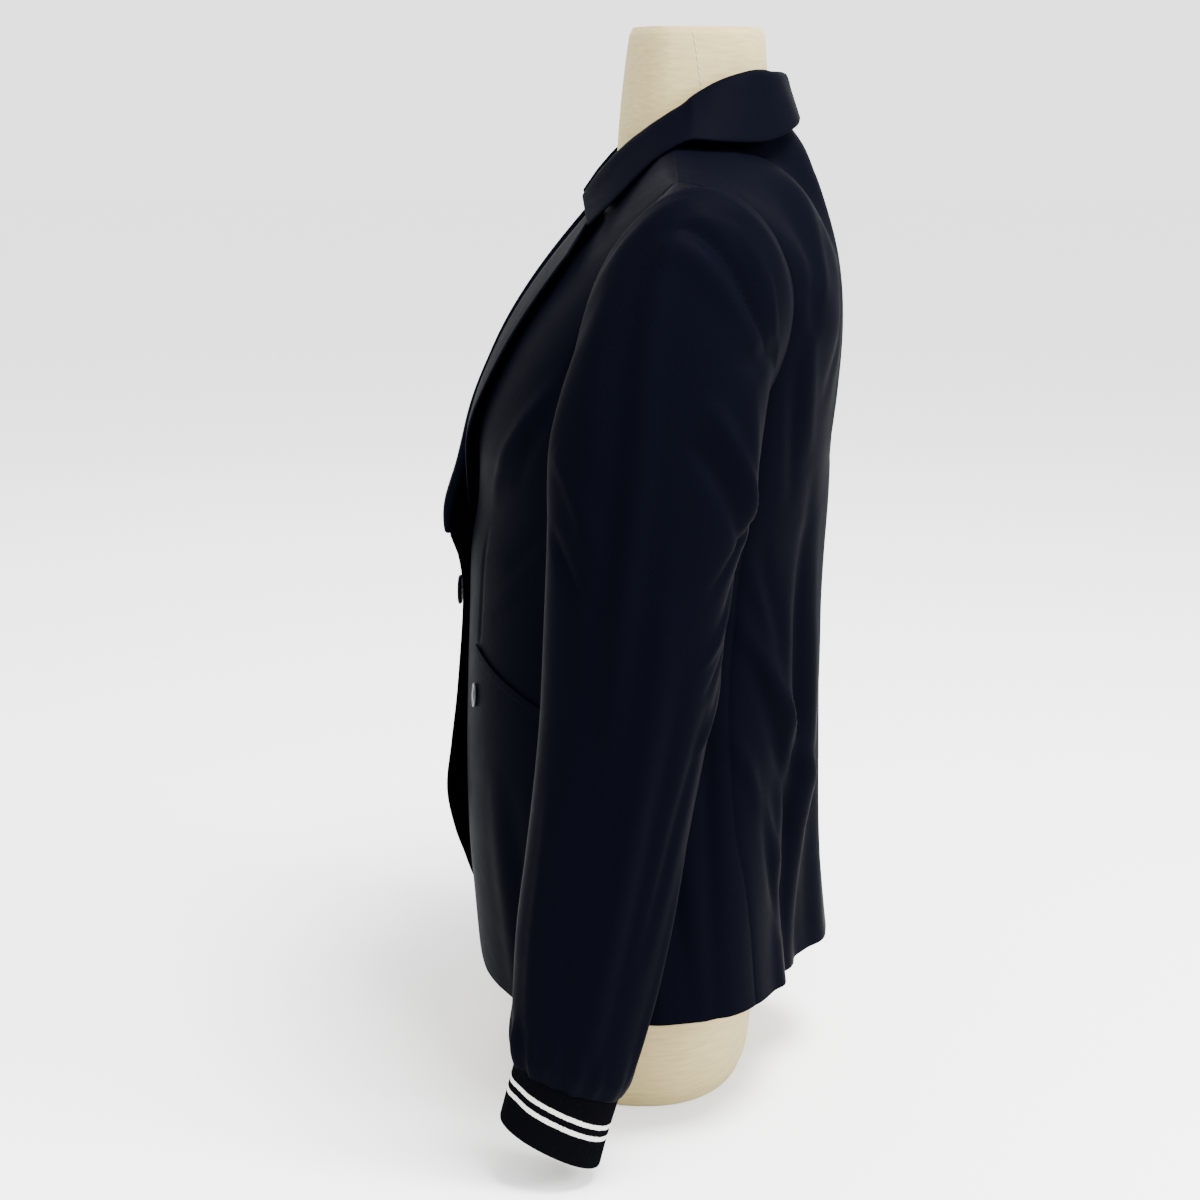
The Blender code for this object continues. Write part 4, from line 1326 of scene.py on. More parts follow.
@dataclass
class FrontPanels:
    """The two fronts, from the rounded hem corner to the shoulder, each with its dart."""

    cut: Cut
    columns: int = 90
    dart_angles: tuple[float, float] = (29.0, 31.5)
    dart_heights: tuple[float, float] = (0.334, 0.418)
    dart_half_width: float = 0.0020
    dart_depth: float = 0.0011
    dart_reach: float = 0.130
    dart_fade: float = 4.0

    def dart(self, angle: float, z: float) -> float:
        """Gives the depth of the sewn dart at a place.

        Args:
            angle: Degrees from the centre front.
            z: Its height.

        Returns:
            Metres inwards, as a number up to 0.
        """
        low, high = self.dart_heights
        part = (z - low) / (high - low)
        if not 0.0 <= part <= 1.0:
            return 0.0
        middle = mix(*self.dart_angles, part)
        across = math.radians(angle - middle) * self.dart_reach / self.dart_half_width
        fade = min(1.0, (1 - part) * self.dart_fade)
        return -self.dart_depth * math.exp(-across * across) * fade

    def build(
        self, finish: bpy.types.Material, welts: dict[Side, bpy.types.Object]
    ) -> None:
        """Makes both fronts.

        Args:
            finish: The suiting.
            welts: The pocket welt of each front; not used.
        """
        cut, torso = self.cut, self.cut.torso
        lower = cut.lower_levels()
        outer = [(cut.side_front - cut.seam_step(cut.side_front, z), z) for z in lower]
        outer += cut.outer_edge(cut.side_front, True)
        neck_z = torso.shoulder_z(torso.neck_x) - torso.top_margin
        rising = cut.rising()
        inner_z = lower + [mix(cut.join_z, neck_z, (i + 1) / rising) for i in range(rising)]
        neck_angle = torso.angle_of_x(torso.neck_x, neck_z)
        tip_angle, tip_z = outer[-1]
        bows = []
        for j in range(self.columns + 1):
            part = j / self.columns
            level = torso.shoulder_level(mix(neck_angle, tip_angle, part))
            bows.append(level - mix(neck_z, tip_z, part))
        places = []
        for i, (z_in, (angle_out, z_out)) in enumerate(zip(inner_z, outer)):
            rise = ease((i + 1 - len(lower)) / rising) ** 2
            angle_in = torso.angle_of_x(torso.edge_x(z_in), z_in)
            line = []
            for j in range(self.columns + 1):
                part = j / self.columns
                angle = mix(angle_in, angle_out, part)
                z = mix(z_in, z_out, part) + bows[j] * rise
                if rise > cut.top_share:
                    z = min(z, torso.shoulder_level(angle))
                line.append((angle, z))
            places.append(line)
        for side in Side:
            grid = [[torso.front(a, z, side) for a, z in line] for line in places]
            grid[-1] = [p + Vector((0.0, cut.shoulder_lap, 0.0)) for p in grid[-1]]
            raised = []
            for line in places:
                dips = [cut.sunk(self.columns - j) for j in range(self.columns + 1)]
                raised.append([self.dart(a, z) + dip for (a, z), dip in zip(line, dips)])
            wall = ClothWall(
                f"front_{side.value}_cloth", grid, cut.cloth, mirror=side is Side.RIGHT, raised=raised
            )
            node = f"front_{side.value}"
            place_cloth(wall, finish, node)


@dataclass
class SidePanels:
    """The two side panels, from the hem to under the arm."""

    cut: Cut

    def build(self, finish: bpy.types.Material) -> None:
        """Makes both side panels.

        Args:
            finish: The suiting.
        """
        cut, torso = self.cut, self.cut.torso
        lower = cut.lower_levels()
        step = cut.seam_step(cut.side_front, cut.join_z)
        columns = cut.side_columns * cut.detail
        join = cut.join_rows * cut.detail
        angles = [
            mix(cut.side_front + step, cut.side_back - step, j / columns)
            for j in range(columns + 1)
        ]
        tops = [smooth_row(cut.armhole, cut.armhole_meets(angle)).z for angle in angles]
        grid = []
        for z in lower:
            last = cut.back_seam(z) - step
            line = []
            for j in range(columns + 1):
                line.append(torso.point(mix(cut.side_front + step, last, j / columns), z))
            grid.append(line)
        for i in range(1, join + 1):
            line = []
            for angle, top in zip(angles, tops):
                line.append(torso.point(angle, mix(cut.join_z, top, i / join)))
            grid.append(line)
        dips = [cut.sunk(j) + cut.sunk(columns - j) for j in range(columns + 1)]
        for side in Side:
            wall = ClothWall(
                f"side_{side.value}_cloth",
                grid,
                cut.cloth,
                mirror=side is Side.RIGHT,
                raised=[dips for _ in grid],
            )
            place_cloth(wall, finish, f"side_{side.value}")


@dataclass
class BackPanel:
    """The back, in one piece from side seam to side seam."""

    cut: Cut
    half_columns: int = 54

    def build(self, finish: bpy.types.Material) -> None:
        """Makes the back.

        Args:
            finish: The suiting.
        """
        cut, torso = self.cut, self.cut.torso
        lower = cut.lower_levels()
        outer = [(cut.back_seam(z) + cut.seam_step(cut.back_seam(z), z), z) for z in lower]
        outer += cut.outer_edge(cut.side_back, False)
        rising = cut.rising()
        top_z = torso.back_neck_z
        centre_z = lower + [mix(cut.join_z, top_z, (i + 1) / rising) for i in range(rising)]
        tip_angle, tip_z = outer[-1]
        bows = []
        for j in range(self.half_columns + 1):
            part = j / self.half_columns
            bows.append(torso.back_top(mix(tip_angle, 180.0, part)) - mix(tip_z, top_z, part))
        grid = []
        for i, (z_in, (angle_out, z_out)) in enumerate(zip(centre_z, outer)):
            rise = ease((i + 1 - len(lower)) / rising) ** 2
            half = []
            for j in range(self.half_columns + 1):
                part = j / self.half_columns
                angle = mix(angle_out, 180.0, part)
                z = mix(z_out, z_in, part) + bows[j] * rise
                if rise > cut.top_share:
                    z = min(z, torso.back_top(angle))
                half.append(torso.point(angle, z))
            grid.append(half + [mirrored(p) for p in reversed(half[:-1])])
        last = 2 * self.half_columns
        dips = [cut.sunk(j) + cut.sunk(last - j) for j in range(last + 1)]
        wall = ClothWall("back_cloth", grid, cut.cloth, raised=[dips for _ in grid])
        place_cloth(wall, finish, "back")


class LapelRow(NamedTuple):
    """A line across the lapel: where it leaves the roll line and where its edge is."""

    t: float
    roll_z: float
    edge_x: float
    edge_z: float
    stand: float


class CurlRow(NamedTuple):
    """A place round the lapel's roll."""

    part: float
    across: float
    forward: float


@dataclass
class Lapels:
    """The two lapels, rolled back from the fronts."""

    cut: Cut
    thickness: float = 0.0020
    rows: int = 75
    flat_columns: int = 20
    curl_columns: int = 9
    lines: tuple[LapelRow, ...] = (
        LapelRow(0.00, 0.3985, -0.0170, 0.3995, 0.0030),
        LapelRow(0.07, 0.4140, 0.0030, 0.4130, 0.0055),
        LapelRow(0.15, 0.4320, 0.0200, 0.4280, 0.0085),
        LapelRow(0.35, 0.4780, 0.0480, 0.4640, 0.0100),
        LapelRow(0.55, 0.5250, 0.0690, 0.5070, 0.0090),
        LapelRow(0.75, 0.5720, 0.0840, 0.5500, 0.0088),
        LapelRow(0.90, 0.6070, 0.0940, 0.5820, 0.0100),
        LapelRow(1.00, 0.6300, 0.0990, 0.6020, 0.0110),
    )
    curl: tuple[CurlRow, ...] = (
        CurlRow(0.0, -0.0012, 0.0000),
        CurlRow(1 / 3, -0.0036, 0.0012),
        CurlRow(2 / 3, -0.0044, 0.0036),
        CurlRow(1.0, -0.0030, 0.0060),
    )
    flat_start: float = 0.0012
    flat_rise: float = 4.0
    start: float = 0.4
    start_t: float = 0.12
    gorge_lift: float = 0.0125
    gorge_start_t: float = 0.8
    gorge_inner: float = 0.1

    def gorge_rise(self, t: float, part: float) -> float:
        """Gives how far the lapel's top bows up to the collar, at a place across it."""
        bow = math.sin(math.pi * mix(self.gorge_inner, 1.0, part))
        return self.gorge_lift * bow * ease((t - self.gorge_start_t) / (1 - self.gorge_start_t))

    def line(self, t: float, side: Side) -> list[Vector]:
        """Finds one line of points across a lapel.

        Args:
            t: The place along it, 0 at the break and 1 at the gorge.
            side: The lapel's side.

        Returns:
            The points, from the roll to the edge.
        """
        torso = self.cut.torso
        row = smooth_row(self.lines, t)
        curled = mix(self.start, 1.0, ease(t / self.start_t))
        roll_z = row.roll_z + self.gorge_rise(t, 0.0)
        roll_x = smooth_row(torso.roll_rows, roll_z).x
        found = []
        for k in range(self.curl_columns + 1):
            curl = smooth_row(self.curl, k / self.curl_columns)
            point = torso.front(torso.angle_of_x(roll_x + curl.across, roll_z), roll_z, side)
            found.append(point + Vector((0.0, -curl.forward * curled, 0.0)))
        start_x = roll_x + self.curl[-1].across
        for j in range(1, self.flat_columns + 1):
            part = j / self.flat_columns
            x = mix(start_x, row.edge_x, part)
            z = mix(row.roll_z, row.edge_z, part) + self.gorge_rise(t, part)
            rise = min(part * self.flat_rise, 1.0)
            lift = (self.curl[-1].forward + self.flat_start * rise) * curled
            forward = mix(lift, row.stand, part)
            point = torso.front(torso.angle_of_x(x, z), z, side)
            found.append(point + Vector((0.0, -forward, 0.0)))
        return found

    def build(self, finish: bpy.types.Material) -> None:
        """Makes both lapels.

        Args:
            finish: The suiting.
        """
        for side in Side:
            grid = [self.line(i / self.rows, side) for i in range(self.rows + 1)]
            wall = ClothWall(
                f"lapel_{side.value}_cloth", grid, self.thickness, mirror=side is Side.RIGHT
            )
            place_cloth(wall, finish, f"lapel_{side.value}")


class CollarRow(NamedTuple):
    """A line across the collar: its fold and its outer edge."""

    t: float
    fold_x: float
    fold_y: float
    fold_z: float
    edge_x: float
    edge_y: float
    edge_z: float


@dataclass
class Collar:
    """The turn-down collar: its stand, its fold and its fall."""

    cut: Cut
    thickness: float = 0.0020
    half_rows: int = 66
    columns: int = 34
    fold_radius: float = 0.0032
    lift: float = 0.0006
    fold_out: float = 1.7
    fold_fall: float = 0.25
    fold_top: float = 0.45
    droop: float = 0.0060
    droop_start: float = 0.08
    droop_span: float = 0.46
    close: float = 0.0042
    close_start: float = 0.62
    close_span: float = 0.2
    shoulder_t: float = 0.55
    front_z: float = 0.6355
    lines: tuple[CollarRow, ...] = (
        CollarRow(0.00, 0.0000, 0.0960, 0.7215, 0.0000, 0.1120, 0.6905),
        CollarRow(0.14, 0.0310, 0.0905, 0.7230, 0.0420, 0.1060, 0.6885),
        CollarRow(0.28, 0.0500, 0.0745, 0.7235, 0.0740, 0.0845, 0.6830),
        CollarRow(0.42, 0.0590, 0.0500, 0.7155, 0.0880, 0.0540, 0.6810),
        CollarRow(0.55, 0.0620, 0.0290, 0.7020, 0.0920, 0.0300, 0.6775),
        CollarRow(0.67, 0.0620, 0.0060, 0.6870, 0.0940, 0.0090, 0.6665),
        CollarRow(0.79, 0.0580, -0.0120, 0.6730, 0.0945, -0.0060, 0.6560),
        CollarRow(0.90, 0.0530, -0.0270, 0.6570, 0.0950, -0.0220, 0.6400),
        CollarRow(1.00, 0.0490, -0.0400, 0.6400, 0.0965, -0.0410, 0.6215),
    )

    def seam(self, t: float) -> Vector:
        """Finds the neck edge that the collar is sewn to.

        Args:
            t: The place along half the collar, 0 at the centre back.

        Returns:
            The point.
        """
        torso = self.cut.torso
        if t < self.shoulder_t:
            angle = mix(180.0, torso.neck_angle(), t / self.shoulder_t)
            return torso.point(angle, torso.back_top(angle))
        part = (t - self.shoulder_t) / (1 - self.shoulder_t)
        z = mix(torso.shoulder_z(torso.neck_x), self.front_z, part)
        return torso.point(torso.angle_of_x(torso.edge_x(z), z), z)

    def section(self, t: float) -> list[Vector]:
        """Finds one line of points across the collar.

        Args:
            t: The place along half the collar.

        Returns:
            The points, up the stand, round the fold and down the fall.
        """
        row = smooth_row(self.lines, t)
        fold = Vector((row.fold_x, row.fold_y, row.fold_z))
        edge = Vector((row.edge_x, row.edge_y, row.edge_z))
        part = min(max((t - self.droop_start) / self.droop_span, 0.0), 1.0)
        edge.z -= self.droop * math.sin(math.pi * part)
        edge.y += self.close * ease((t - self.close_start) / self.close_span)
        seam = self.seam(t)
        seam += (fold - seam).normalized() * self.lift
        down = (edge - fold).normalized()
        up = (fold - seam).normalized()
        aside = (down - up * down.dot(up)).normalized()
        radius = self.fold_radius
        start = fold + aside * radius * self.fold_out - up * radius * self.fold_fall
        corners = [seam, seam.lerp(fold, 0.5), fold - up * radius]
        corners += [fold + aside * radius * self.fold_top, start]
        corners += [start.lerp(edge, part) for part in (0.33, 0.67, 1.0)]
        return smooth_line(corners, self.columns)

    def build(self, finish: bpy.types.Material) -> None:
        """Makes the collar.

        Args:
            finish: The suiting.
        """
        half = [self.section(i / self.half_rows) for i in range(self.half_rows + 1)]
        other = [[mirrored(p) for p in section] for section in reversed(half[1:])]
        wall = ClothWall("collar_cloth", other + half, self.thickness)
        place_cloth(wall, finish, "collar")


class LinePoint(NamedTuple):
    """A point of a line with its place along it."""

    along: float
    x: float
    y: float
    z: float


def smooth_line(corners: Sequence[Vector], steps: int) -> list[Vector]:
    """Draws a smooth line through points.

    Args:
        corners: The points.
        steps: The number of steps, even in length.

    Returns:
        One more point than steps.
    """
    reached, rows = 0.0, []
    for i, corner in enumerate(corners):
        if i:
            reached += (corner - corners[i - 1]).length
        rows.append(LinePoint(reached, *corner))
    found = []
    for k in range(steps + 1):
        row = smooth_row(rows, reached * k / steps)
        found.append(Vector((row.x, row.y, row.z)))
    return found


# Sleeves and cuffs


class SleeveRow(NamedTuple):
    """A ring of the sleeve: outer and inner points in x and z, front and back in y and z."""

    t: float
    outer_x: float
    outer_z: float
    inner_x: float
    inner_z: float
    front_y: float
    front_z: float
    back_y: float
    back_z: float


def ring_points(
    row: SleeveRow, angles: Sequence[float], power: float, grown: Callable[[float], float]
) -> list[Vector]:
    """Finds a flattened ring through a row's four places.

    Args:
        row: The sleeve row.
        angles: Degrees round the ring, from its outer side and over the back.
        power: 2 for an ellipse, more for a squarer ring.
        grown: Metres outwards at an angle.

    Returns:
        The ring's points.
    """
    centre_xz = ((row.outer_x + row.inner_x) / 2, (row.outer_z + row.inner_z) / 2)
    centre_yz = ((row.front_y + row.back_y) / 2, (row.front_z + row.back_z) / 2)
    centre = Vector((centre_xz[0], centre_yz[0], (centre_xz[1] + centre_yz[1]) / 2))
    outward = Vector(((row.outer_x - row.inner_x) / 2, 0.0, (row.outer_z - row.inner_z) / 2))
    backward = Vector((0.0, (row.back_y - row.front_y) / 2, (row.back_z - row.front_z) / 2))
    ring = []
    for angle in angles:
        side, ahead = ring_place(angle, power)
        spoke = outward * ahead + backward * side
        ring.append(centre + spoke * (1 + grown(angle) / spoke.length))
    return ring


@dataclass
class Sleeves:
    """The two set-in sleeves, gathered a little onto their cuffs."""

    cut: Cut
    rings: int = 170
    power: float = 2.2
    cap_power: float = 1.85
    cap_end: float = 0.3
    gathers: int = 9
    gather_height: float = 0.0008
    gather_start: float = 0.9
    pucker_start: float = 0.925
    puckers: int = 15
    pucker_height: float = 0.0034
    pucker_least: float = 0.25
    pucker_side: float = 48.0
    pucker_drift: float = 60.0
    pucker_trough: float = 0.4
    pucker_end: float = 0.8
    tuck: float = 0.0005
    rows: tuple[SleeveRow, ...] = (
        SleeveRow(0.00, 0.1960, 0.6520, 0.1750, 0.4740, -0.0410, 0.545, 0.0935, 0.572),
        SleeveRow(0.06, 0.2090, 0.6430, 0.1775, 0.4700, -0.0440, 0.535, 0.0910, 0.570),
        SleeveRow(0.12, 0.2215, 0.6220, 0.1795, 0.4660, -0.0480, 0.520, 0.0865, 0.560),
        SleeveRow(0.18, 0.2345, 0.5895, 0.1810, 0.4610, -0.0550, 0.503, 0.0800, 0.540),
        SleeveRow(0.24, 0.2455, 0.5500, 0.1820, 0.4540, -0.0600, 0.487, 0.0755, 0.515),
        SleeveRow(0.30, 0.2540, 0.5060, 0.1825, 0.4430, -0.0612, 0.468, 0.0710, 0.480),
        SleeveRow(0.37, 0.2600, 0.4590, 0.1830, 0.4250, -0.0612, 0.443, 0.0650, 0.443),
        SleeveRow(0.44, 0.2635, 0.4120, 0.1835, 0.4000, -0.0622, 0.410, 0.0545, 0.402),
        SleeveRow(0.52, 0.2655, 0.3660, 0.1850, 0.3600, -0.0640, 0.369, 0.0490, 0.357),
        SleeveRow(0.60, 0.2655, 0.3160, 0.1870, 0.3120, -0.0662, 0.322, 0.0403, 0.306),
        SleeveRow(0.68, 0.2655, 0.2690, 0.1900, 0.2660, -0.0702, 0.277, 0.0315, 0.258),
        SleeveRow(0.76, 0.2655, 0.2170, 0.1935, 0.2150, -0.0760, 0.228, 0.0218, 0.204),
        SleeveRow(0.84, 0.2655, 0.1650, 0.1965, 0.1630, -0.0823, 0.178, 0.0112, 0.150),
        SleeveRow(0.91, 0.2650, 0.1190, 0.1985, 0.1170, -0.0853, 0.131, 0.0002, 0.103),
        SleeveRow(0.97, 0.2640, 0.0870, 0.1990, 0.0850, -0.0868, 0.100, -0.0085, 0.0715),
        SleeveRow(1.00, 0.2590, 0.0725, 0.2020, 0.0705, -0.0850, 0.0845, -0.0150, 0.0585),
    )
    folds: tuple[Fold, ...] = (
        Fold(6.0, 0.02, 62.0, 0.20, 11.0, -0.0030),
        Fold(-38.0, 0.04, -30.0, 0.50, 12.0, 0.0025),
        Fold(52.0, 0.24, 84.0, 0.40, 12.0, 0.0030),
        Fold(112.0, 0.38, 62.0, 0.50, 10.0, -0.0025),
        Fold(20.0, 0.45, 12.0, 0.95, 14.0, 0.0020),
        Fold(-24.0, 0.55, -18.0, 0.98, 10.0, -0.0020),
    )
    small_folds: tuple[Fold, ...] = (
        Fold(2.0, 0.096, 66.0, 0.197, 9.0, -0.0068),
        Fold(-8.0, 0.115, 56.0, 0.225, 11.0, 0.0037),
        Fold(20.0, 0.080, 78.0, 0.170, 10.0, 0.0025),
        Fold(-4.0, 0.10, -11.0, 0.62, 7.0, 0.0037),
        Fold(-20.0, 0.14, -25.0, 0.60, 8.0, -0.0022),
        Fold(94.0, 0.155, 52.0, 0.245, 8.0, -0.0037),
        Fold(26.0, 0.275, 80.0, 0.372, 9.0, 0.0043),
        Fold(20.0, 0.305, 76.0, 0.402, 9.0, -0.0037),
        Fold(-64.0, 0.28, -24.0, 0.43, 6.0, 0.0025),
        Fold(-70.0, 0.38, -34.0, 0.47, 6.0, -0.0028),
        Fold(104.0, 0.33, 44.0, 0.455, 5.0, -0.0028),
        Fold(110.0, 0.40, 46.0, 0.53, 5.0, 0.0034),
        Fold(112.0, 0.45, 56.0, 0.56, 5.0, -0.0028),
        Fold(104.0, 0.52, 60.0, 0.62, 5.0, 0.0022),
        Fold(18.0, 0.40, 10.0, 0.98, 7.0, 0.0022),
        Fold(34.0, 0.50, 26.0, 0.97, 7.0, -0.0022),
        Fold(62.0, 0.56, 40.0, 0.84, 6.0, -0.0025),
        Fold(-50.0, 0.66, -44.0, 0.99, 7.0, 0.0019),
        Fold(76.0, 0.72, 64.0, 1.02, 6.0, 0.0028),
        Fold(150.0, 0.30, 118.0, 0.42, 7.0, 0.0028),
        Fold(160.0, 0.42, 124.0, 0.53, 6.0, -0.0028),
    )

    def places(self) -> list[tuple[float, bool]]:
        """Lists places round the armhole, from the shoulder tip over the back.

        Returns:
            Places along the armhole, and whether each is on the back.
        """
        cut = self.cut
        foot_back = cut.armhole_meets(cut.side_back)
        foot_front = cut.armhole_meets(cut.side_front)
        upper = cut.upper_rows * cut.detail
        under = cut.side_columns * cut.detail
        found = [(mix(1.0, foot_back, i / upper), True) for i in range(upper)]
        for j in range(under):
            angle = mix(cut.side_back, cut.side_front, j / under)
            found.append((cut.armhole_meets(angle), angle > 90))
        found += [(mix(foot_front, 1.0, i / upper), False) for i in range(upper)]
        return found

    def first_ring(self, places: Sequence[tuple[float, bool]]) -> list[Vector]:
        """Finds the ring that meets the armhole, tucked in as its seam is.

        Args:
            places: The places round the armhole.

        Returns:
            The ring's points.
        """
        sideways = Vector((1.0, 0.0, 0.0))
        ring = []
        for t, back in places:
            angle, z = self.cut.armhole_place(t, back)
            ring.append(self.cut.torso.point(angle, z) - sideways * self.tuck)
        return ring

    def grown(self, angle: float, along: float) -> float:
        """Gives how far the cloth stands out at a place.

        Args:
            angle: Degrees round the sleeve, from its outer side and over the back.
            along: The place down the sleeve.

        Returns:
            Metres outwards.
        """
        signed = angle - 360.0 if angle > 180.0 else angle
        out = fold_height(self.folds, signed, along) + fold_height(self.small_folds, signed, along)
        if along > self.gather_start:
            near = (along - self.gather_start) / (1 - self.gather_start)
            out += self.gather_height * math.sin(math.radians(angle * self.gathers)) * near
        if along > self.pucker_start:
            near = (along - self.pucker_start) / (1 - self.pucker_start)
            facing = max(math.cos(math.radians(angle + self.pucker_side)), 0.0)
            uneven = self.pucker_least + (1 - self.pucker_least) * facing**2
            uneven += 0.15 * math.sin(math.radians(angle * 5.0 + 40.0))
            drift = self.pucker_drift * math.sin(math.radians(angle * 2))
            turn = math.radians(angle * self.puckers + drift)
            wave = max(math.sin(turn), self.pucker_trough * math.sin(turn))
            shape = math.sin(math.pi * near * self.pucker_end)
            out += self.pucker_height * wave * uneven * shape
        return out

    def build(self, finish: bpy.types.Material) -> None:
        """Makes both sleeves.

        Args:
            finish: The suiting.
        """
        places = self.places()
        angles = [180.0 * (1 - t) if back else 180.0 * (1 + t) for t, back in places]
        grid = [self.first_ring(places)]
        for i in range(self.rings):
            along = i / (self.rings - 1)
            row = smooth_row(self.rows, along)
            power = mix(self.cap_power, self.power, ease(along / self.cap_end))
            grid.append(ring_points(row, angles, power, lambda a: self.grown(a, along)))
        grid.reverse()
        for side in Side:
            wall = ClothWall(
                f"sleeve_{side.value}_cloth", grid, self.cut.cloth, closed=True, mirror=side is Side.RIGHT
            )
            place_cloth(wall, finish, f"sleeve_{side.value}")


@dataclass
class Cuffs:
    """The two rib-knit cuffs."""

    thickness: float = 0.0018
    ribs: int = 126  # the real rib is 0.9 mm wide, drawn at 1.6 mm so that it shows
    points_per_rib: int = 6
    rings: int = 22
    rib_height: float = 0.00035
    power: float = 2.2
    tucked: float = 0.0024
    dent_angle: float = 306.0
    dent_half_angle: float = 15.0
    dent_depth: float = 0.0021
    rows: tuple[SleeveRow, ...] = (
        SleeveRow(0.00, 0.2572, 0.0717, 0.2038, 0.0697, -0.0837, 0.0834, -0.0169, 0.0577),
        SleeveRow(0.50, 0.2575, 0.0485, 0.2045, 0.0465, -0.0893, 0.0625, -0.0240, 0.0335),
        SleeveRow(1.00, 0.2590, 0.0270, 0.2050, 0.0250, -0.0942, 0.0445, -0.0298, 0.0115),
    )

    def dent(self, angle: float, along: float) -> float:
        """Gives the small dent on the cuff's front outer side."""
        across = (angle - self.dent_angle) / self.dent_half_angle
        return -self.dent_depth * math.exp(-across * across) * math.sin(math.pi * along)

    def build(self, finish: bpy.types.Material) -> None:
        """Makes both cuffs.

        Args:
            finish: The rib knit.
        """
        sides = self.ribs * self.points_per_rib
        angles = [360.0 * k / sides for k in range(sides)]
        grid, raised = [], []
        for i in range(self.rings):
            along = i / (self.rings - 1)
            row = smooth_row(self.rows, 1 - along)
            grid.append(ring_points(row, angles, self.power, lambda a: self.dent(a, along)))
            waves = [0.5 - 0.5 * math.cos(math.radians(a * self.ribs)) for a in angles]
            raised.append([self.rib_height * wave**0.8 for wave in waves])
        # The knit's edge goes up inside the sleeve's end, as it is sewn
        grid.append([p + Vector((0.0, 0.0, self.tucked)) for p in grid[-1]])
        raised.append([0.0] * sides)
        for side in Side:
            wall = ClothWall(
                f"cuff_{side.value}_knit",
                grid,
                self.thickness,
                closed=True,
                mirror=side is Side.RIGHT,
                raised=raised,
            )
            place_cloth(wall, finish, f"cuff_{side.value}")


# What lies on the fronts


@dataclass
class PocketWelts:
    """The narrow welts of the two slanted pockets, sewn on over the pocket mouths."""

    cut: Cut
    width: float = 0.0065
    thickness: float = 0.0015
    front_angle: float = 28.0
    back_angle: float = 62.0
    front_z: float = 0.330
    back_z: float = 0.295
    rows: int = 6
    columns: int = 60

    def build(self, finish: bpy.types.Material) -> dict[Side, bpy.types.Object]:
        """Makes both welts.

        Args:
            finish: The suiting.

        Returns:
            The welt of each side.
        """
        cut, torso = self.cut, self.cut.torso
        out = cut.cloth / 2 + cut.welt_gap + self.thickness / 2
        made = {}
        for side in Side:
            base = []
            for i in range(self.rows + 1):
                line = []
                for j in range(self.columns + 1):
                    part = j / self.columns
                    angle = mix(self.front_angle, self.back_angle, part)
                    z = mix(self.front_z, self.back_z, part)
                    z += (i / self.rows - 1) * self.width
                    line.append(torso.front(angle, z, side))
                base.append(line)
            flat = ClothWall("measure", base, self.thickness)
            lifted = [
                [p + n * out for p, n in zip(*lines)] for lines in zip(flat.grid, flat.normals)
            ]
            wall = ClothWall(
                f"welt_{side.value}_cloth", lifted, self.thickness, mirror=side is Side.RIGHT
            )
            node = f"welt_{side.value}"
            made[side] = place_piece(wall.build(), finish, node)
        return made


class ProfilePoint(NamedTuple):
    """A place on a turned profile, as parts of the radius and the depth."""

    size: float
    lift: float


def ring_faces(levels: int, sides: int) -> list[tuple[int, ...]]:
    """Joins stacked rings of points, and closes both ends.

    Args:
        levels: The number of rings.
        sides: The number of points in each.

    Returns:
        The point numbers of each face.
    """
    faces: list[tuple[int, ...]] = []
    for level in range(levels - 1):
        for k in range(sides):
            a, b = level * sides + k, level * sides + (k + 1) % sides
            faces.append((a, b, b + sides, a + sides))
    faces.append(tuple(range(sides)))
    faces.append(tuple(range((levels - 1) * sides, levels * sides)))
    return faces


def turned(
    name: str,
    centre: Vector,
    normal: Vector,
    half_width: float,
    half_height: float,
    depth: float,
    profile: Sequence[ProfilePoint],
    sides: int = 72,
) -> bpy.types.Object:
    """Makes a low round or oval piece that lies on a surface.

    Args:
        name: The object's name.
        centre: The middle of its back.
        normal: The direction it faces.
        half_width: Half its width.
        half_height: Half its height.
        depth: Its depth.
        profile: From the middle of its back round to the middle of its face.
        sides: The number of sides.

    Returns:
        The object.
    """
    aside = Vector((0.0, 0.0, 1.0)).cross(normal).normalized()
    up = normal.cross(aside).normalized()
    points = []
    for place in profile:
        for k in range(sides):
            turn = 2 * math.pi * k / sides
            spot = aside * half_width * math.cos(turn) + up * half_height * math.sin(turn)
            points.append(centre + spot * place.size + normal * depth * place.lift)
    return mesh_object(name, points, ring_faces(len(profile), sides), sharp=50.0)


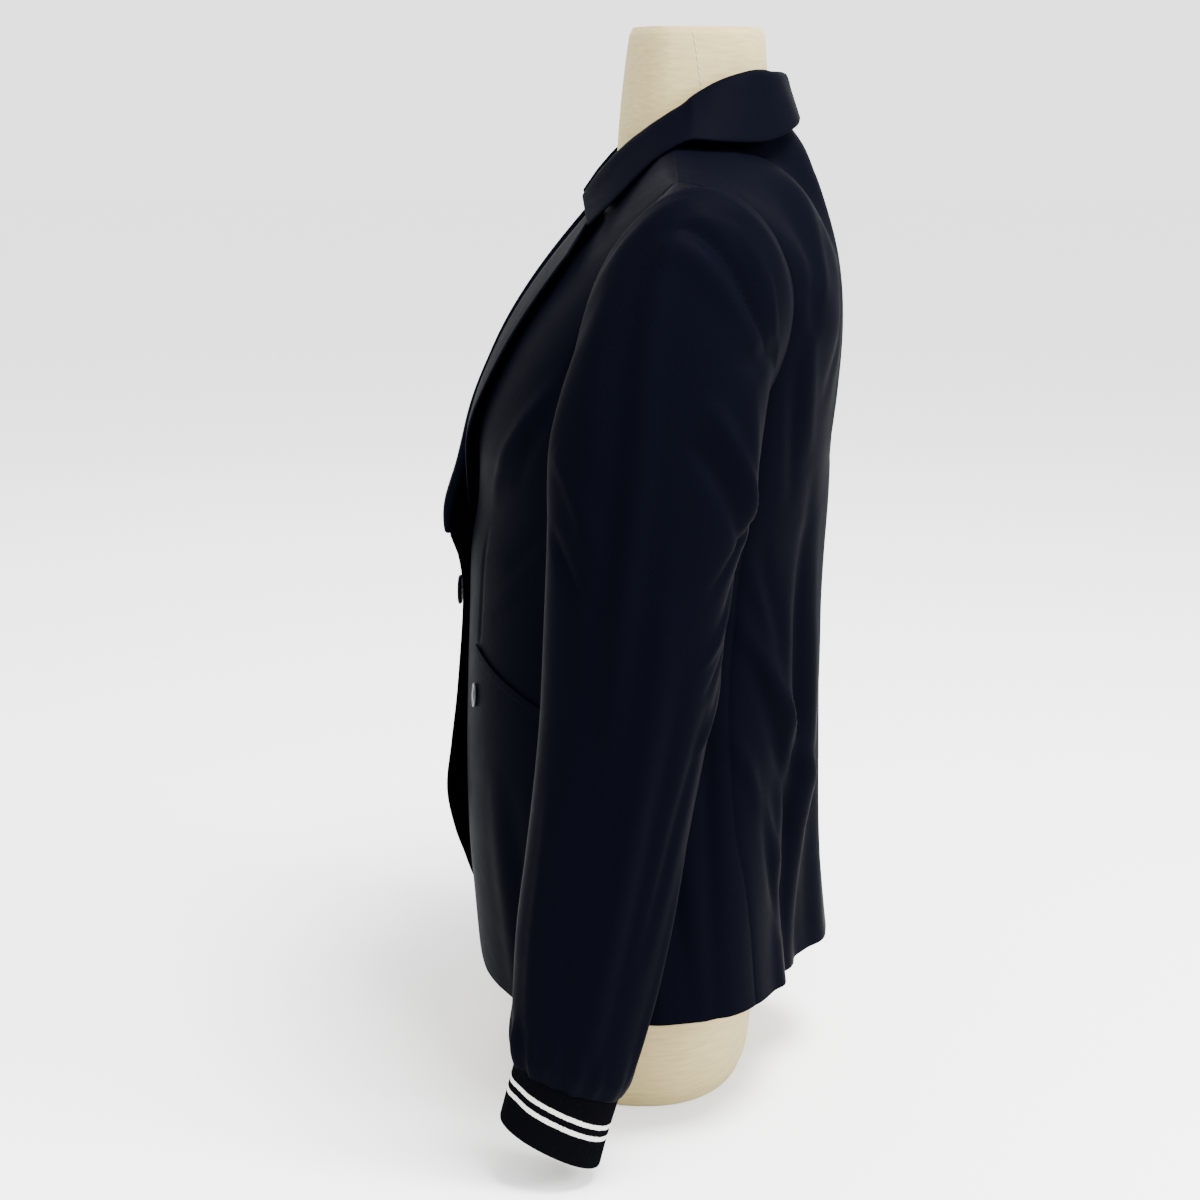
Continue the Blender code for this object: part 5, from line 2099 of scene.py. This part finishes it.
@dataclass
class Stud:
    """The small plain oval stud below the left pocket's front end."""

    cut: Cut
    half_width: float = 0.0045
    half_height: float = 0.0090
    depth: float = 0.0022
    angle: float = 27.0
    z: float = 0.2925
    lift: float = 0.0004
    profile: tuple[ProfilePoint, ...] = (
        ProfilePoint(0.90, 0.0),
        ProfilePoint(0.98, 0.10),
        ProfilePoint(1.00, 0.35),
        ProfilePoint(0.97, 0.62),
        ProfilePoint(0.90, 0.74),
        ProfilePoint(0.80, 0.72),
        ProfilePoint(0.74, 0.58),
        ProfilePoint(0.66, 0.62),
        ProfilePoint(0.48, 0.84),
        ProfilePoint(0.26, 0.96),
        ProfilePoint(0.06, 1.00),
    )

    def build(self, finish: bpy.types.Material) -> None:
        """Makes the stud.

        Args:
            finish: The gunmetal.
        """
        torso, step, rise = self.cut.torso, 0.5, 0.001
        along = torso.point(self.angle + step, self.z) - torso.point(self.angle - step, self.z)
        up = torso.point(self.angle, self.z + rise) - torso.point(self.angle, self.z - rise)
        normal = along.cross(up).normalized()
        seat = torso.point(self.angle, self.z) + normal * (self.cut.cloth / 2 + self.lift)
        piece = turned(
            "stud_metal", seat, normal, self.half_width, self.half_height, self.depth, self.profile
        )
        place_piece(piece, finish, "stud")


@dataclass
class Button:
    """The fastened front button, with a dished face, four holes and its thread."""

    cut: Cut
    radius: float = 0.0110
    depth: float = 0.0028
    z: float = 0.352
    lift: float = 0.0014
    hole_radius: float = 0.0011
    hole_place: float = 0.0026
    thread_radius: float = 0.00045
    thread_face: float = 0.66
    thread_foot: float = 0.15
    thread_bow: float = 0.0006
    thread_steps: int = 24
    drill_places: tuple[float, ...] = (-0.004, 0.002, 0.008)
    drill_sides: int = 24
    profile: tuple[ProfilePoint, ...] = (
        ProfilePoint(0.62, 0.0),
        ProfilePoint(0.90, 0.06),
        ProfilePoint(0.99, 0.34),
        ProfilePoint(1.00, 0.56),
        ProfilePoint(0.96, 0.84),
        ProfilePoint(0.88, 0.98),
        ProfilePoint(0.80, 0.99),
        ProfilePoint(0.70, 0.86),
        ProfilePoint(0.60, 0.68),
        ProfilePoint(0.40, 0.62),
        ProfilePoint(0.08, 0.62),
    )

    def build(self, resin: bpy.types.Material, thread: bpy.types.Material) -> None:
        """Makes the button and its thread.

        Args:
            resin: The button's finish.
            thread: The thread's finish.
        """
        torso, step, rise = self.cut.torso, 1.0, 0.004
        place = torso.front(0.0, self.z, Side.RIGHT)
        ahead = torso.front(step, self.z, Side.RIGHT) - torso.front(-step, self.z, Side.RIGHT)
        up = torso.front(0.0, self.z + rise, Side.RIGHT) - torso.front(0.0, self.z - rise, Side.RIGHT)
        normal = mirrored(ahead.cross(up).normalized())
        seat = place + normal * (self.cut.cloth / 2 + self.lift)
        body = turned(
            "button_resin", seat, normal, self.radius, self.radius, self.depth, self.profile
        )
        aside = Vector((0.0, 0.0, 1.0)).cross(normal).normalized()
        upward = normal.cross(aside).normalized()
        spots = []
        for x, y in ((1, 1), (1, -1), (-1, -1), (-1, 1)):
            spots.append(seat + (aside * x + upward * y) * self.hole_place / ROOT_TWO)
        for number, spot in enumerate(spots):
            self.drill(body, spot, normal, number)
        place_piece(body, resin, "button")
        face = normal * self.depth * self.thread_face
        foot = normal * self.depth * self.thread_foot
        for number, (a, b) in enumerate(((0, 1), (3, 2))):
            line = smooth_line(
                [
                    spots[a] + foot,
                    spots[a] + face,
                    spots[a].lerp(spots[b], 0.5) + face + normal * self.thread_bow,
                    spots[b] + face,
                    spots[b] + foot,
                ],
                self.thread_steps,
            )
            strand = tube(f"button_thread_{number}", line, self.thread_radius)
            strand.data.materials.append(thread)
            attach(strand, "root")
        log.info("button: four holes and two threads")

    def drill(self, body: bpy.types.Object, spot: Vector, normal: Vector, number: int) -> None:
        """Drills one hole through the button.

        Args:
            body: The button.
            spot: The hole's place.
            normal: The direction it faces.
            number: The hole's number.
        """
        rod = tube(
            f"drill_{number}",
            [spot + normal * place for place in self.drill_places],
            self.hole_radius,
            self.drill_sides,
        )
        cutter = body.modifiers.new("drill", "BOOLEAN")
        cutter.operation = "DIFFERENCE"
        cutter.object = rod
        bpy.context.view_layer.update()
        graph = bpy.context.evaluated_depsgraph_get()
        drilled = bpy.data.meshes.new_from_object(body.evaluated_get(graph))
        body.modifiers.remove(cutter)
        body.data = drilled
        bpy.data.objects.remove(rod)


def tube(
    name: str, line: Sequence[Vector], radius: float, sides: int = 10
) -> bpy.types.Object:
    """Makes a round tube along a line, closed at its ends.

    Args:
        name: The object's name.
        line: Its middle.
        radius: Its radius.
        sides: The number of sides.

    Returns:
        The object.
    """
    ahead = (line[-1] - line[0]).normalized()
    if len(line) > 2:
        ahead = (line[1] - line[0]).normalized()
    aside = ahead.orthogonal().normalized()
    points = []
    for i, spot in enumerate(line):
        ahead = (line[min(i + 1, len(line) - 1)] - line[max(i - 1, 0)]).normalized()
        aside = (aside - ahead * aside.dot(ahead)).normalized()
        up = ahead.cross(aside)
        for k in range(sides):
            turn = 2 * math.pi * k / sides
            points.append(spot + (aside * math.cos(turn) + up * math.sin(turn)) * radius)
    return mesh_object(name, points, ring_faces(len(line), sides), sharp=60.0)


# The dress form


class FormRow(NamedTuple):
    """One level of the dress form."""

    z: float
    half_width: float
    front_y: float
    back_y: float
    power: float


@dataclass
class DressForm:
    """The limbless form under the jacket, covered with linen that is seamed at the neck."""

    cut: Cut
    sides: int = 168
    rows_per_level: int = 6
    clearance: float = 0.0014
    drop: float = 0.0036
    neck_clearance: float = 0.0040
    neck_base_z: float = 0.668
    opening_margin: float = 0.030
    opening_fade: float = 0.020
    waist_z: float = 0.5
    upper_y: float = 0.020
    lower_y: float = 0.005
    spare_x: float = 0.085
    spare_fade: float = 0.025
    map_girth: float = 0.62
    seam_drop: float = 0.004
    seam_top_angle: float = 102.5
    seam_foot_angle: float = 110.0
    seam_foot_z: float = 0.690
    stitch_pitch: float = 0.0052
    stitch_radius: float = 0.00045
    stitch_places: tuple[float, ...] = (0.0, 0.35, 0.62)
    stitch_bulges: tuple[float, ...] = (0.1, 0.7, 0.1)
    levels: tuple[FormRow, ...] = (
        FormRow(0.000, 0.1240, -0.0760, 0.0790, 2.2),
        FormRow(0.012, 0.1290, -0.0800, 0.0835, 2.2),
        FormRow(0.060, 0.1380, -0.0870, 0.0890, 2.2),
        FormRow(0.140, 0.1560, -0.0960, 0.1060, 2.2),
        FormRow(0.210, 0.1580, -0.0960, 0.1120, 2.2),
        FormRow(0.290, 0.1400, -0.0900, 0.1030, 2.2),
        FormRow(0.370, 0.1180, -0.0800, 0.0920, 2.2),
        FormRow(0.430, 0.1250, -0.0860, 0.1000, 2.2),
        FormRow(0.490, 0.1420, -0.1000, 0.1120, 2.3),
        FormRow(0.540, 0.1530, -0.0820, 0.1220, 2.5),
        FormRow(0.590, 0.1620, -0.0520, 0.1270, 2.8),
        FormRow(0.620, 0.1660, -0.0310, 0.1230, 2.8),
        FormRow(0.640, 0.1640, -0.0185, 0.1105, 2.5),
        FormRow(0.652, 0.1350, -0.0165, 0.0995, 2.2),
        FormRow(0.662, 0.0830, -0.0165, 0.0985, 2.05),
        FormRow(0.670, 0.0552, -0.0162, 0.0955, 2.0),
        FormRow(0.682, 0.0545, -0.0155, 0.0915, 2.0),
        FormRow(0.710, 0.0530, -0.0130, 0.0895, 2.0),
        FormRow(0.747, 0.0508, -0.0082, 0.0868, 2.0),
        FormRow(0.753, 0.0488, -0.0057, 0.0843, 2.0),
    )

    def point(self, row: FormRow, angle: float) -> Vector:
        """Finds a point of the form, held back inside the cloth above it.

        Args:
            row: The level.
            angle: Degrees from the centre front.

        Returns:
            The point.
        """
        torso = self.cut.torso
        side, ahead = ring_place(angle, row.power)
        middle_y = self.upper_y if row.z > self.waist_z else self.lower_y
        depth = middle_y - row.front_y if ahead > 0 else row.back_y - middle_y
        x = row.half_width * side
        y = middle_y - depth * ahead
        if row.z < self.neck_base_z and abs(x) < smooth_row(torso.rows, row.z).half_width:
            beside = ease((abs(x) - self.spare_x) / self.spare_fade)
            spare = self.neck_clearance * (1 - beside)
            cover_z = row.z + self.drop + spare
            turn = torso.angle_of_x(abs(x), cover_z)
            front = torso.point(turn, cover_z).y + self.clearance + spare
            back = torso.point(180.0 - turn, cover_z).y - self.clearance - spare
            inside = abs(x) - smooth_row(torso.roll_rows, row.z).x + self.opening_margin
            y = mix(y, max(y, front), ease(inside / self.opening_fade))
            y = min(y, back)
        return Vector((x, y, row.z))

    def build(self, linen: bpy.types.Material, thread: bpy.types.Material) -> None:
        """Makes the form and the stitches of its neck seam.

        Args:
            linen: The cover's finish.
            thread: The stitches' finish.
        """
        heights = []
        for low, high in zip(self.levels, self.levels[1:]):
            steps = self.rows_per_level
            heights += [mix(low.z, high.z, i / steps) for i in range(steps)]
        heights.append(self.levels[-1].z)
        angles = [360.0 * (k + 0.5) / self.sides - 180.0 for k in range(self.sides)]
        grid = []
        for z in heights:
            row = smooth_row(self.levels, z)
            grid.append([self.point(row, angle) for angle in angles])
        points = [p for line in grid for p in line]
        places = []
        for low, high in zip(heights, heights[1:]):
            for k in range(self.sides):
                left = k / self.sides * self.map_girth
                right = (k + 1) / self.sides * self.map_girth
                places += [(left, low), (right, low), (right, high), (left, high)]
        for line in (grid[0], grid[-1]):
            places += [(p.x, p.y) for p in line]
        faces = ring_faces(len(grid), self.sides)
        body = mesh_object(FORM_NAME, points, faces, places, sharp=50.0)
        place_piece(body, linen, "dress_form")
        self.stitch_neck(thread)

    def stitch_neck(self, thread: bpy.types.Material) -> None:
        """Sews the cover's neck seam down the form's left side.

        Args:
            thread: The stitches' finish.
        """
        count = 0
        z = self.levels[-1].z - self.seam_drop
        while z > self.seam_foot_z:
            line = []
            for place, bulge in zip(self.stitch_places, self.stitch_bulges):
                at_z = z - place * self.stitch_pitch
                fallen = (self.levels[-1].z - at_z) / (self.levels[-1].z - self.seam_foot_z)
                angle = mix(self.seam_top_angle, self.seam_foot_angle, fallen)
                spot = self.point(smooth_row(self.levels, at_z), angle)
                line.append(spot + Vector((self.stitch_radius * bulge, 0.0, 0.0)))
            stitch = tube(f"neck_stitch_{count:02d}", line, self.stitch_radius, 8)
            stitch.data.materials.append(thread)
            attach(stitch, "root")
            z -= self.stitch_pitch
            count += 1
        log.info("neck seam: %d stitches", count)


# The studio


class SoftLight(NamedTuple):
    """A square softbox: its name, place, side in metres and watts."""

    name: str
    place: tuple[float, float, float]
    size: float
    power: float


@dataclass
class Studio:
    """A pale floor, soft lights and the camera at the photo's place."""

    eye: tuple[float, float, float] = (1.62, -0.0285, 0.704)
    down: float = 12.53
    lens: float = 67.5
    floor_size: float = 30.0
    surround: str = "FCFCFC"
    surround_strength: float = 2.6
    aim: tuple[float, float, float] = (0.0, 0.0, 0.42)
    floor_z: float = -0.0005
    sensor: float = 36.0
    lights: tuple[SoftLight, ...] = (
        SoftLight("overhead_softbox", (0.6, 0.5, 2.3), 0.8, 170.0),
        SoftLight("front_softbox", (1.8, -1.6, 1.6), 1.0, 6.0),
        SoftLight("back_softbox", (1.0, 2.3, 1.5), 0.9, 110.0),
        SoftLight("far_softbox", (-2.2, -0.6, 1.8), 1.2, 20.0),
    )

    def hang(self, light: SoftLight) -> None:
        """Hangs one soft light that faces the jacket.

        Args:
            light: The light.
        """
        lamp = bpy.data.lights.new(light.name, "AREA")
        lamp.shape = "SQUARE"
        lamp.size = light.size
        lamp.energy = light.power
        made = bpy.data.objects.new(light.name, lamp)
        made.location = light.place
        aim = Vector(self.aim) - made.location
        made.rotation_euler = aim.to_track_quat("-Z", "Y").to_euler()
        bpy.context.scene.collection.objects.link(made)

    def build(self, paper: bpy.types.Material) -> None:
        """Sets up the floor, the lights and the camera.

        Args:
            paper: The floor's finish.
        """
        half = self.floor_size / 2
        corners = [(-half, -half), (half, -half), (half, half), (-half, half)]
        floor = mesh_object(
            "floor", [Vector((x, y, self.floor_z)) for x, y in corners], [(0, 1, 2, 3)]
        )
        floor.data.materials.append(paper)
        for light in self.lights:
            self.hang(light)
        world = bpy.data.worlds.new("studio_surround")
        world.use_nodes = True
        sky = world.node_tree.nodes["Background"]
        sky.inputs["Color"].default_value = linear(self.surround)
        sky.inputs["Strength"].default_value = self.surround_strength
        bpy.context.scene.world = world
        lens = bpy.data.cameras.new("camera")
        lens.lens = self.lens
        lens.sensor_width = self.sensor
        camera = bpy.data.objects.new("camera", lens)
        camera.location = self.eye
        camera.rotation_euler = (math.radians(90 - self.down), 0.0, math.radians(90))
        bpy.context.scene.collection.objects.link(camera)
        bpy.context.scene.camera = camera
        log.info("studio: floor, %d soft lights and the camera", len(self.lights))


def main() -> None:
    """Makes every finish, then every piece in the order it is put together."""
    logging.basicConfig(level=logging.INFO, format="%(name)s %(message)s")
    suiting = StretchSuiting().make()
    knit = RibKnit().make()
    linen = LinenCover().make()
    metal = Gunmetal().make()
    resin = CastResin().make()
    black_thread = SewingThread("spun_thread_black", "15151A").make()
    linen_thread = SewingThread("spun_thread_linen", "A79F8C").make()
    cut = Cut(Torso())
    Studio().build(StudioPaper().make())
    DressForm(cut).build(linen, linen_thread)
    BackPanel(cut).build(suiting)
    SidePanels(cut).build(suiting)
    welts = PocketWelts(cut).build(suiting)
    FrontPanels(cut).build(suiting, welts)
    Lapels(cut).build(suiting)
    Collar(cut).build(suiting)
    Sleeves(cut).build(suiting)
    Cuffs().build(knit)
    Stud(cut).build(metal)
    Button(cut).build(resin, black_thread)


if __name__ == "__main__":
    main()
